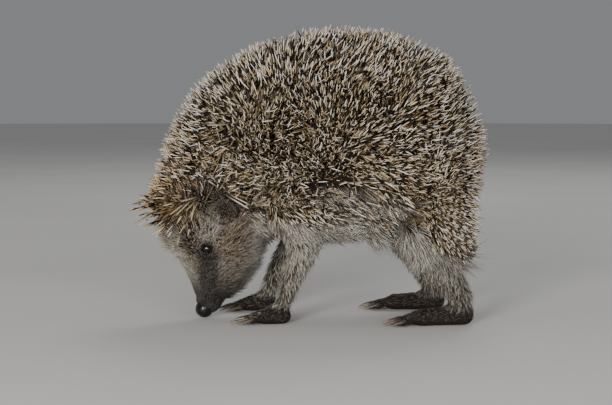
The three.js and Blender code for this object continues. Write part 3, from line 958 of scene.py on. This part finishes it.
def grow_quills():
    """All the quills, shared out at random over a few pieces."""
    roots = strewn("quill_ground", ground * (ground > SURE_GROUND), QUILL_TRIES, QUILL_GAP)
    ways = quill_ways(roots)
    clear = ~crossing(roots, ways)
    roots, ways = roots.some(clear), ways[clear]
    length = to_tips(roots.points, ways, QUILL_SHORT, QUILL_LONG) * DRAW.uniform(0.86, 1.12, len(roots))
    bend = unit(ways + DRAW.normal(0, 0.08, ways.shape))
    girth = QUILL_RADIUS * DRAW.uniform(0.85, 1.15, len(roots))
    made = []
    for number, some in enumerate(np.array_split(DRAW.permutation(len(roots)), QUILL_PIECES)):
        sizes = length[some], girth[some], QUILL_PROFILE, QUILL_SIDES
        made.append(spikes(f"quills_{number + 1}", roots.some(some), ways[some], bend[some], *sizes))
        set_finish(made[-1], "quills")
    return made


ground = quill_ground()
coat = grow_quills()

# ---- fur ----

# For each body part: length, width of a tuft and lift off the skin in degrees.
FUR = {
    "head": (5.4, 0.34, 42), "muzzle": (3.0, 0.26, 27), "lower_jaw": (3.4, 0.26, 36), "ear": (1.4, 0.17, 18),
    "crown": (7, 0.38, 38), "neck": (11, 0.55, 34), "belly": (15, 0.6, 30), "shoulders": (16, 0.6, 40),
    "back": (17, 0.6, 40), "rump": (17, 0.6, 36), "thigh": (15, 0.6, 22), "shank": (7, 0.5, 20),
    "foreleg": (7, 0.5, 22), "forefoot": (2.2, 0.3, 12), "hindfoot": (2.2, 0.3, 12), "tail": (3, 0.35, 20),
}


def fur_flow():
    """The way the fur lies at each skin vertex, before it is laid on the skin."""
    _, left, over = in_head(skin_points).T
    to_jaw = 0.9 * soft_step(8, -14, over)[:, None]
    outward = 0.15 * np.sign(left)[:, None]
    to_rump = 0.12 + 0.75 * soft_step(34, 52, skin_points[:, 2] / MM)[:, None]
    flow = DOWN * 0.8 + REARWARD * 0.7 + skin_normals * 0.3
    for parts, lie in (
        (("head", "muzzle", "lower_jaw", "ear", "crown"), -SNOUT - FOREHEAD * to_jaw + HEAD_LEFT * outward),
        (("neck",), REARWARD * 0.8 + DOWN * 0.5),
        (("foreleg", "shank", "thigh", "tail"), DOWN + REARWARD * to_rump),
        (("forefoot", "hindfoot"), DOWN * 0.1 - REARWARD),
        (("belly",), REARWARD),
    ):
        flow = np.where(is_kind(*parts)[:, None], lie, flow)
    return unit(smoothed(flow, skin_edges, 12))


# Length of the fur along the face, and how much longer it is under the jaw, in millimetres.
FACE_LENGTH = {"ahead": (-16, 0, 12, 21, 30, 38, 43), "long": (10, 7.6, 5.8, 4.4, 3.2, 2.1, 1.1)}
JAW_LENGTH = {"ahead": (-16, 16, 24, 30, 36, 41), "more": (4, 2.4, 2.8, 3.8, 3.6, 1.5)}
FACE_BACK = -22  # the fur of the face reaches back to here under the first quills, in millimetres ahead
CHIN_LIFT, FOREHEAD_LIFT, FOREHEAD_LONGER = 22, 17, 0.5  # in degrees, and as a share of the length
LASH_SHARE, EAR_FOOT_SHARE = 0.2, 0.5  # of the length, for the fur that is next to an eye and to an ear
EYE_BARE, NOSE_BARE = 3.4, 4.5  # no fur grows nearer than this to the middle of an eye or of the nose


def fur_sizes(face):
    """Length, width and lift of the fur at each skin vertex, in millimetres and degrees."""
    length, width, lift = (by_kind({part: sizes[k] for part, sizes in FUR.items()}) for k in range(3))
    ahead, _, over = in_head(skin_points).T
    under_jaw = soft_step(3, 9, -over)
    face_length = np.interp(ahead, FACE_LENGTH["ahead"], FACE_LENGTH["long"])
    face_length += under_jaw * np.interp(ahead, JAW_LENGTH["ahead"], JAW_LENGTH["more"])
    length = np.where(is_kind("head", "muzzle", "lower_jaw", "crown"), face_length, length)
    length *= LASH_SHARE + (1 - LASH_SHARE) * soft_step(3, 9, from_nearest(skin_points, EYES))
    forehead = soft_step(9, 17, over) * soft_step(26, 12, ahead) * face
    length *= 1 + FOREHEAD_LONGER * forehead
    length *= EAR_FOOT_SHARE + (1 - EAR_FOOT_SHARE) * soft_step(6, 12, from_nearest(skin_points, EARS))
    length = np.where(is_kind("ear"), FUR["ear"][0], length)
    chin = under_jaw * soft_step(16, 26, ahead) * (ahead < 46) * is_kind("muzzle", "lower_jaw", "head")
    return length, width, lift + CHIN_LIFT * chin + FOREHEAD_LIFT * forehead


flow = fur_flow()
face = is_kind("head", "muzzle", "lower_jaw") | (is_kind("crown") & (in_head(skin_points)[:, 0] > FACE_BACK))
fur_length, fur_width, fur_lift = fur_sizes(face)
bare = from_nearest(skin_points, EYES) > EYE_BARE
bare &= from_nearest(skin_points, [NOSE_AT]) > NOSE_BARE


def laid(roots, lift, spread):
    """The way hairs leave the skin and the way they end, for a lift in degrees and a spread at random."""
    normal = unit(roots.read(skin_normals))
    lie = roots.read(flow)
    lie = unit(lie - normal * (lie * normal).sum(axis=1, keepdims=True) + DRAW.normal(0, spread, lie.shape))
    lie = unit(lie - normal * (lie * normal).sum(axis=1, keepdims=True) * 0.8)
    rise = np.radians(lift + DRAW.normal(0, 6, len(roots)))
    start = unit(lie * np.cos(rise + 0.25)[:, None] + normal * np.sin(rise + 0.25)[:, None])
    end = unit(lie * np.cos(rise - 0.3)[:, None] + normal * np.sin(rise - 0.3)[:, None])
    return start, end


SHORT_PROFILE = ((0, 0.7), (0.45, 1.0), (1, 0))
LONG_PROFILE = ((0, 0.6), (0.3, 1.0), (0.7, 0.7), (1, 0))
TUFT_SIDES, TUFT_FLAT = 3, 0.5
HIP_WIDE = 7  # how far the fur of the hip reaches to both sides of the quills' lower edge
SOLE = 1.6 * MM  # no fur grows lower than this on the feet


def grow_fur(name, where, count, slot, spread=0.25, profile=SHORT_PROFILE, pieces=1):
    """Fur over part of the skin, thicker where it is short."""
    weight = where.astype(float) / np.maximum(fur_length * fur_width, 0.2)
    roots = strewn(name + "_ground", weight, count)
    start, end = laid(roots, roots.read(fur_lift), spread)
    length = roots.read(fur_length) * MM * DRAW.uniform(0.7, 1.15, count)
    radius = roots.read(fur_width) * MM * 0.5 * DRAW.uniform(0.75, 1.2, count)
    made = []
    for number, some in enumerate(np.array_split(np.arange(count), pieces)):
        title = name if pieces == 1 else f"{name}_{number + 1}"
        sizes = length[some], radius[some], profile, TUFT_SIDES, TUFT_FLAT
        made.append(spikes(title, roots.some(some), start[some], end[some], *sizes))
        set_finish(made[-1], slot)
    return made


fringe_ground = is_kind("shoulders", "back", "rump") & (ground < FRINGE_GROUND)
hip = np.exp(-(((under_quills(skin_points) + 1) / HIP_WIDE) ** 2)) * is_kind("thigh", "rump")
hip *= (ground < HIP_GROUND) * (hip > 0.1) * (np.abs(skin_normals[:, 1]) > 0.3)
feet = is_kind("forefoot", "hindfoot", "tail") & (skin_normals[:, 2] > -0.3) & (skin_points[:, 2] > SOLE)
LONG = {"profile": LONG_PROFILE}
for name, where, count, slot, settings in (
    ("face_fur", face & bare, 34000, "face_fur", {"spread": 0.34, "pieces": 2}),
    ("ear_fur", is_kind("ear"), 4400, "face_fur", {"spread": 0.4}),
    ("neck_fur", is_kind("neck"), 3500, "body_fur", LONG),
    ("belly_fur", is_kind("belly"), 3500, "body_fur", LONG),
    ("fringe", fringe_ground, 6000, "body_fur", LONG),
    ("hip_fur", hip, 2500, "body_fur", LONG),
    ("leg_fur", is_kind("thigh", "shank", "foreleg"), 9500, "leg_fur", LONG),
    ("foot_fur", feet, 5000, "leg_fur", {}),
):
    coat += grow_fur(name, where, count, slot, **settings)
for piece in coat:
    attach(piece, "root")

# ---- whiskers ----

WHISKERS = 46
WHISKER_RADIUS = 0.11 * MM
WHISKER_PROFILE = ((0, 1.0), (0.35, 0.8), (0.7, 0.5), (1, 0))


def grow_whiskers():
    """Stiff dark hairs on the sides of the muzzle, and a few over the eyes."""
    ahead, left, over = in_head(skin_points).T
    pads = (ahead > 25) & (ahead < 38) & (np.abs(left) > 3.5) & (over > -8) & (over < 3)
    brows = (ahead > 4) & (ahead < 8) & (over > 14) & (over < 19) & (np.abs(left) > 9)
    roots = strewn("whisker_ground", pads + 0.35 * brows, WHISKERS)
    normal = unit(roots.read(skin_normals))
    back = roots.read(flow)
    start = unit(normal * 0.8 + back * 0.55 + DRAW.normal(0, 0.12, back.shape))
    end = unit(normal * 0.35 + back * 0.9 + DRAW.normal(0, 0.12, back.shape))
    length = DRAW.uniform(8, 17, len(roots)) * MM
    radius = np.full(len(roots), WHISKER_RADIUS)
    piece = spikes("whiskers", roots, start, end, length, radius, WHISKER_PROFILE, 4)
    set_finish(piece, "face_fur")
    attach(piece, "root")
    return piece


whiskers = grow_whiskers()

# ---- eyes, nose and claws ----


def ball(name, segments, rings, shape):
    """A sphere of radius 1 whose points are then placed by a shape."""
    pick_none()
    bpy.ops.mesh.primitive_uv_sphere_add(segments=segments, ring_count=rings, radius=1)
    piece = bpy.context.object
    piece.name = piece.data.name = name
    move_points(piece, shape(points_of(piece)))
    bpy.ops.object.shade_smooth()
    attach(piece, "root")
    return piece


CORNEA = 0.16  # how far the front of the ball bulges, in millimetres


def make_eye(hand):
    outward, along, across = eye_frame(hand)

    def shape(unit_ball):
        bulge = EYE_RADIUS + CORNEA * soft_step(0.72, 1.0, unit_ball[:, 2])
        return EYES_AT[hand] + (unit_ball * bulge[:, None] * MM) @ np.stack([along, across, outward])

    eye = ball(f"eyeball_{hand}", 40, 28, shape)
    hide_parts(f"eye_{hand}")
    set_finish(eye, "eye")
    return eye


NOSE_HALF = {"ahead": 4.3, "left": 4.5, "over": 4.3}
NOSE_SUNK = {"back": 0.9, "under": 0.5}  # the pad's middle from the node's, so that it sits in the muzzle
NOSTRILS = {"left": 2.0, "over": 0.3}


def make_nose():
    """The wet pad: flat in front, parted by a groove, with a comma-shaped nostril opening to each side."""

    def shape(unit_ball):
        squared = np.sign(unit_ball) * np.abs(unit_ball) ** 0.86
        at = squared * [NOSE_HALF["ahead"], NOSE_HALF["left"], NOSE_HALF["over"]]
        ahead, left, over = at.T
        front = soft_step(-0.5, 1.5, ahead)
        slant = np.abs(left) - NOSTRILS["left"] - 0.55 * (over - NOSTRILS["over"])
        hole = np.exp(-((slant / 0.55) ** 2) - ((over - NOSTRILS["over"]) / 0.95) ** 2) * front
        tail = np.exp(-(((np.abs(left) - 3.0) / 0.9) ** 2) - ((over + 0.6) / 0.4) ** 2)
        tail *= soft_step(-1.5, 0.5, ahead)
        groove = np.exp(-((left / 0.32) ** 2)) * front * (1 - soft_step(0.8, 2.4, over))
        rim = 0.22 * np.exp(-(((np.hypot(slant, over - NOSTRILS["over"]) - 1.25) / 0.4) ** 2)) * front
        pull = 1 - (1.25 * hole + 0.6 * tail + 0.4 * groove - rim) / np.linalg.norm(at, axis=1)
        at = at * pull[:, None]
        sunk = NOSE_AT - MM * (NOSE_SUNK["back"] * SNOUT + NOSE_SUNK["under"] * FOREHEAD)
        return sunk + MM * at @ np.stack([SNOUT, HEAD_LEFT, FOREHEAD])

    nose = ball("nose_pad", 96, 64, shape)
    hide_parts("nose")
    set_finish(nose, "nose_skin")
    return nose


CLAW_HALF = {"wide": 0.8, "high": 1.1}
CLAW_TIP, CLAW_ROOT, CLAW_ARCH = 0.8 * MM, 2.9 * MM, 1.1 * MM  # heights of tip and root, and the arch
CLAW_SUNK = 0.18  # how far it goes on into the toe, as a share of its length


def make_claw(node):
    """A curved, tapering claw along its node, sunk at the root into the toe."""
    root, tip = claw_line(node)
    tip = np.array([tip[0], tip[1], CLAW_TIP])
    root = np.array([root[0], root[1], CLAW_ROOT])
    sunk = root - CLAW_SUNK * (tip - root) * [1, 1, 0]
    top = (root + tip) / 2 + [0, 0, CLAW_ARCH]
    side = unit([-(tip - root)[1], (tip - root)[0], 0])

    def shape(unit_ball):
        s = (1 - unit_ball[:, 2:]) / 2
        line = (1 - s) ** 2 * sunk + 2 * s * (1 - s) * top + s**2 * tip
        girth = np.maximum(1 - s, 0) ** 0.6 * np.minimum(1, (s / 0.05) ** 0.5)
        from_axis = np.linalg.norm(unit_ball[:, :2], axis=1, keepdims=True)
        round_way = unit_ball[:, :2] / np.maximum(from_axis, 1e-6)
        wide = round_way[:, :1] * girth * CLAW_HALF["wide"] * MM
        high = round_way[:, 1:] * girth * CLAW_HALF["high"] * MM
        return line + wide * side + high * [0, 0, 1]

    claw = ball(f"{node}_horn", 16, 14, shape)
    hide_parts(node)
    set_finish(claw, "horn")
    return claw


eyes = [make_eye(hand) for hand in HANDS]
nose_pad = make_nose()
claws = [make_claw(node) for node in sorted(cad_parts) if node.startswith("claw_")]

# ---- materials ----


def linear(colour):
    """A hex colour as linear red, green, blue and alpha."""
    parts = [int(colour[k : k + 2], 16) / 255 for k in (1, 3, 5)]
    return (*((c / 12.92 if c <= 0.04045 else ((c + 0.055) / 1.055) ** 2.4) for c in parts), 1)


def add(tree, kind, links=None, stops=(), **settings):
    """Adds a node with its settings, the stops of its ramp, and a link, value or hex colour for each input.
    Gives its outputs."""
    node = tree.nodes.new("ShaderNode" + kind)
    for key, value in settings.items():
        setattr(node, key, value)
    for key, value in (links or {}).items():
        if isinstance(value, bpy.types.NodeSocket):
            tree.links.new(value, node.inputs[key])
        else:
            node.inputs[key].default_value = linear(value) if isinstance(value, str) else value
    while stops and len(node.color_ramp.elements) < len(stops):
        node.color_ramp.elements.new(0.5)
    for number, (place, colour) in enumerate(stops):
        node.color_ramp.elements[number].position = place
        node.color_ramp.elements[number].color = linear(colour)
    return node.outputs


SHARE, UNDER, OVER, MIXED = 0, 6, 7, 2  # the inputs of a node that mixes two colours, and its output
BLEND = {"data_type": "RGBA", "blend_type": "MIX"}
MULTIPLY = {"data_type": "RGBA", "blend_type": "MULTIPLY"}


def new_material(name, uniform):
    """A material, its tree and its shader's inputs, of which the uniform ones are set."""
    material = bpy.data.materials.new(name)
    material.use_nodes = True
    inputs = material.node_tree.nodes["Principled BSDF"].inputs
    for socket, value in uniform.items():
        inputs[socket].default_value = value
    return material, material.node_tree, inputs


def strand_values(tree):
    """How far along the quill or hair a place is, the strand's own tint, and its marks with painted shade."""
    along, tint, marks_and_shade = (add(tree, "Attribute", attribute_name=name) for name in ("along", "tint", "marks_and_shade"))
    return along["Fac"], tint["Fac"], add(tree, "SeparateXYZ", {0: marks_and_shade["Vector"]})


QUILL_BANDS = (  # along a quill
    (0, "#6b6052"), (0.25, "#c0b59f"), (0.54, "#bfb29b"), (0.61, "#33281f"),
    (0.79, "#201915"), (0.84, "#d0c6b2"), (1, "#f6f1e8"),
)
QUILL_TINTS_AND_HIGHLIGHTS = (  # from quill to quill; the whites and bluish whites are partly painted highlight
    (0, "#6e655c"), (0.15, "#a3937b"), (0.35, "#e6dac4"), (0.6, "#ffffff"),
    (0.8, "#eef3fb"), (0.9, "#e3d0b2"), (1, "#ab9475"),
)
BAND_SHIFT = 0.2  # how far the bands shift from quill to quill, as a share of its length


def keratin_quill():
    """Hollow horn, cream with a dark band under a pale tip, and a dull wax gloss."""
    material, tree, shader = new_material("quill_keratin_banded", {"Roughness": 0.3, "IOR": 1.55})
    along, tint, marks_and_shade = strand_values(tree)
    turns = add(tree, "Math", {0: tint, 1: 7.31}, operation="MULTIPLY")[0]
    shift = add(tree, "Math", {0: turns}, operation="FRACT")[0]
    place = add(tree, "Math", {0: shift, 1: BAND_SHIFT, 2: along}, operation="MULTIPLY_ADD")[0]
    place = add(tree, "Math", {0: place, 1: BAND_SHIFT / 2}, operation="SUBTRACT")[0]
    bands = add(tree, "ValToRGB", {0: place}, QUILL_BANDS)[0]
    # each quill's tint, partly painted highlight in its whites
    shades = add(tree, "ValToRGB", {0: tint}, QUILL_TINTS_AND_HIGHLIGHTS)[0]
    colour = add(tree, "Mix", {SHARE: 1.0, UNDER: bands, OVER: shades}, **MULTIPLY)[MIXED]
    colour = add(tree, "Mix", {SHARE: marks_and_shade["Z"], UNDER: colour, OVER: "#ecd9b4"}, **MULTIPLY)[MIXED]
    # darker with the dark marks, and with the painted shade over the haunch
    colour = add(tree, "Mix", {SHARE: marks_and_shade["X"], UNDER: colour, OVER: "#a39d94"}, **MULTIPLY)[MIXED]
    tree.links.new(colour, shader["Base Color"])
    return material


FUR_SHADES = ((0, "#4a4540"), (0.3, "#8f8981"), (0.6, "#d9d5ce"), (0.85, "#ffffff"), (1, "#fff8ec"))
PALE_FUR = ((0, "#6b665f"), (0.5, "#a8a297"), (1, "#e4e0d8"))


def fur_material(name, root, middle, tip):
    """Coarse hair, dark at the root and pale at the tip, each tuft a little different."""
    material, tree, shader = new_material(name, {"Roughness": 0.6, "Specular IOR Level": 0.3})
    along, tint, marks_and_shade = strand_values(tree)
    hair = add(tree, "ValToRGB", {0: along}, ((0, root), (0.4, middle), (0.8, tip)))[0]
    shades = add(tree, "ValToRGB", {0: tint}, FUR_SHADES)[0]
    hair = add(tree, "Mix", {SHARE: 1.0, UNDER: hair, OVER: shades}, **MULTIPLY)[MIXED]
    hair = add(tree, "Mix", {SHARE: marks_and_shade["Z"], UNDER: hair, OVER: "#ffe9cc"}, **MULTIPLY)[MIXED]
    pale = add(tree, "ValToRGB", {0: along}, PALE_FUR)[0]
    pale = add(tree, "Mix", {SHARE: 0.6, UNDER: hair, OVER: pale}, **BLEND)[MIXED]
    hair = add(tree, "Mix", {SHARE: marks_and_shade["Y"], UNDER: hair, OVER: pale}, **BLEND)[MIXED]
    # darker with the dark marks, and with the painted shade over the haunch and in the ear's bowl
    hair = add(tree, "Mix", {SHARE: marks_and_shade["X"], UNDER: hair, OVER: "#74747a"}, **MULTIPLY)[MIXED]
    tree.links.new(hair, shader["Base Color"])
    return material


def whisker_material():
    """Stiff bristle, nearly black and glossier than fur."""
    material, tree, shader = new_material("whisker_bristle", {"Roughness": 0.4})
    along = add(tree, "Attribute", attribute_name="along")["Fac"]
    colour = add(tree, "ValToRGB", {0: along}, ((0, "#15100d"), (0.7, "#2a211a"), (1, "#4a3d30")))[0]
    tree.links.new(colour, shader["Base Color"])
    return material


# The eye's colour from the middle of its front outwards, by shares of the ball's radius.
IRIS = ((0, "#020202"), (0.55, "#020202"), (0.6, "#0e0906"), (0.85, "#0a0604"), (0.95, "#030202"))


def eye_material(hand):
    """A wet black eye: the dark brown iris only just shows round the pupil."""
    wet = {"Roughness": 0.04, "IOR": 1.38, "Coat Weight": 1.0, "Coat Roughness": 0.02}
    material, tree, shader = new_material(f"eye_wet_black_{hand}", wet)
    place = add(tree, "TexCoord")["Object"]
    front = EYES_AT[hand] + EYE_OUTWARD[hand] * EYE_RADIUS * MM
    away = add(tree, "VectorMath", {0: place, 1: tuple(front)}, operation="DISTANCE")["Value"]
    share = add(tree, "Math", {0: away, 1: 1 / (EYE_RADIUS * MM)}, operation="MULTIPLY")[0]
    tree.links.new(add(tree, "ValToRGB", {0: share}, IRIS)[0], shader["Base Color"])
    return material


PEBBLE = 0.38 * MM  # across one pebble of the nose's skin


def nose_material():
    """Wet hairless skin, black and finely pebbled."""
    wet = {"Roughness": 0.4, "Specular IOR Level": 0.2, "Coat Weight": 0.3, "Coat Roughness": 0.1}
    material, tree, shader = new_material("nose_wet_pebbled_skin", wet)
    place = add(tree, "TexCoord")["Object"]
    cells = add(tree, "TexVoronoi", {"Vector": place, "Scale": 1 / PEBBLE})["Distance"]
    tone = add(tree, "TexNoise", {"Vector": place, "Scale": 400, "Detail": 3})["Fac"]
    colour = add(tree, "ValToRGB", {0: tone}, ((0.35, "#060505"), (0.7, "#141111")))[0]
    tree.links.new(colour, shader["Base Color"])
    bump = add(tree, "Bump", {"Height": cells, "Strength": 0.6, "Distance": 0.12 * MM}, invert=True)
    tree.links.new(bump[0], shader["Normal"])
    return material


def horn_material():
    """Claw horn, dark brown in the core and yellowish where it is thin, with fine lengthwise growth lines."""
    material, tree, shader = new_material("claw_horn_worn", {"Roughness": 0.35, "IOR": 1.55})
    place = add(tree, "TexCoord")["Object"]
    stretch = add(tree, "Mapping", {"Vector": place, "Scale": (150, 2500, 2500)})[0]
    lines = add(tree, "TexNoise", {"Vector": stretch, "Scale": 1, "Detail": 4})["Fac"]
    height = add(tree, "SeparateXYZ", {0: place})["Z"]
    thin = add(tree, "MapRange", {"Value": height, "From Min": 3.4 * MM, "From Max": 0.6 * MM})[0]
    core = add(tree, "ValToRGB", {0: thin}, ((0, "#372d26"), (1, "#7c6f5e")))[0]
    growth = add(tree, "ValToRGB", {0: lines}, ((0.3, "#2b231e"), (0.7, "#685b4c")))[0]
    colour = add(tree, "Mix", {SHARE: 0.35, UNDER: core, OVER: growth}, **BLEND)[MIXED]
    tree.links.new(colour, shader["Base Color"])
    bump = add(tree, "Bump", {"Height": lines, "Strength": 0.3, "Distance": 0.05 * MM})
    tree.links.new(bump[0], shader["Normal"])
    return material


def skin_material():
    """Bare leathery skin, matt and painted dark as shade, that only just shows between the hairs and quills."""
    material, tree, shader = new_material("skin_under_coat_painted_shade", {"Roughness": 0.85, "Specular IOR Level": 0.1})
    marks_and_shade = add(tree, "SeparateXYZ", {0: add(tree, "Attribute", attribute_name="marks_and_shade")["Vector"]})
    place = add(tree, "TexCoord")["Object"]
    grain = add(tree, "TexNoise", {"Vector": place, "Scale": 900, "Detail": 4})["Fac"]
    # a near-black base: partly the dark skin of lids and nose, mostly painted shade where it shows between
    # hairs and quills
    base = add(tree, "ValToRGB", {0: grain}, ((0.3, "#1c1612"), (0.7, "#332a23")))[0]
    pale = add(tree, "Mix", {SHARE: 0.35, UNDER: base, OVER: "#8a8072"}, **BLEND)[MIXED]
    base = add(tree, "Mix", {SHARE: marks_and_shade["Y"], UNDER: base, OVER: pale}, **BLEND)[MIXED]
    # darker still with the dark marks, and with the painted shade over the haunch and in the ear's bowl
    base = add(tree, "Mix", {SHARE: marks_and_shade["X"], UNDER: base, OVER: "#221c19"}, **BLEND)[MIXED]
    tree.links.new(base, shader["Base Color"])
    bump = add(tree, "Bump", {"Height": grain, "Strength": 0.5, "Distance": 0.3 * MM})
    tree.links.new(bump[0], shader["Normal"])
    return material


def floor_material():
    """Matt studio paper, off-white, with a faint mottle."""
    material, tree, shader = new_material("studio_paper_matt", {"Roughness": 0.9})
    place = add(tree, "TexCoord")["Object"]
    mottle = add(tree, "TexNoise", {"Vector": place, "Scale": 6, "Detail": 3})["Fac"]
    colour = add(tree, "ValToRGB", {0: mottle}, ((0.3, "#dedcd8"), (0.7, "#e4e2de")))[0]
    tree.links.new(colour, shader["Base Color"])
    return material


body_hair = fur_material("body_hair", "#37322d", "#857d72", "#cbc5b9")
looks = {
    "quills": keratin_quill(),
    "face_fur": fur_material("face_hair", "#2c2825", "#776f66", "#b5aea3"),
    "body_fur": body_hair,
    "leg_fur": body_hair,
}
for piece in coat:
    piece.data.materials.append(looks[piece["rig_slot"]])
skin.data.materials.append(skin_material())
whiskers.data.materials.append(whisker_material())
nose_pad.data.materials.append(nose_material())
horn = horn_material()
for claw in claws:
    claw.data.materials.append(horn)
for hand, eye in zip(HANDS, eyes):
    eye.data.materials.append(eye_material(hand))


# ---- floor, light and camera ----

LENS, SENSOR = 105.0, 36
ELEVATION = math.radians(4)
AIM = Vector((-2.1 * MM, 0, 60 * MM))
DISTANCE = 0.93
FLOOR_RADIUS = 4
LIGHTS = {  # place and width in metres, power in watts, and linear colour
    "key": ((-0.4, -1.35, 0.22), 0.32, 19.5, (1, 0.98, 0.95)),
    "fill": ((0.3, -1.2, 0.1), 0.8, 11, (0.98, 0.98, 1)),
    "rim": ((0.3, 1.1, 1.2), 0.7, 5, (1, 1, 1)),
}
SURROUND = {"Color": (0.8, 0.82, 0.85, 1), "Strength": 0.28}


def add_floor():
    bpy.ops.mesh.primitive_circle_add(vertices=96, radius=FLOOR_RADIUS, fill_type="NGON", location=(0, 0, 0))
    floor = bpy.context.object
    floor.name = "floor"
    floor.data.materials.append(floor_material())


def add_light(name, place, size, watts, colour):
    data = bpy.data.lights.new(name, "AREA")
    data.size = size
    data.energy = watts
    data.color = colour
    lamp = bpy.data.objects.new(name, data)
    bpy.context.collection.objects.link(lamp)
    lamp.location = place
    lamp.rotation_euler = (AIM - Vector(place)).to_track_quat("-Z", "Y").to_euler()


def add_surround():
    world = bpy.data.worlds.new("studio")
    bpy.context.scene.world = world
    world.use_nodes = True
    for socket, value in SURROUND.items():
        world.node_tree.nodes["Background"].inputs[socket].default_value = value


def add_camera():
    camera = bpy.data.objects.new("camera", bpy.data.cameras.new("camera"))
    bpy.context.collection.objects.link(camera)
    camera.data.lens = LENS
    camera.data.sensor_width = SENSOR
    back = Vector((0, -math.cos(ELEVATION), math.sin(ELEVATION)))
    camera.location = AIM + DISTANCE * back
    camera.rotation_euler = (-back).to_track_quat("-Z", "Y").to_euler()
    camera.data.clip_start = 0.01
    bpy.context.scene.camera = camera


add_floor()
for name, settings in LIGHTS.items():
    add_light(name, *settings)
add_surround()
add_camera()
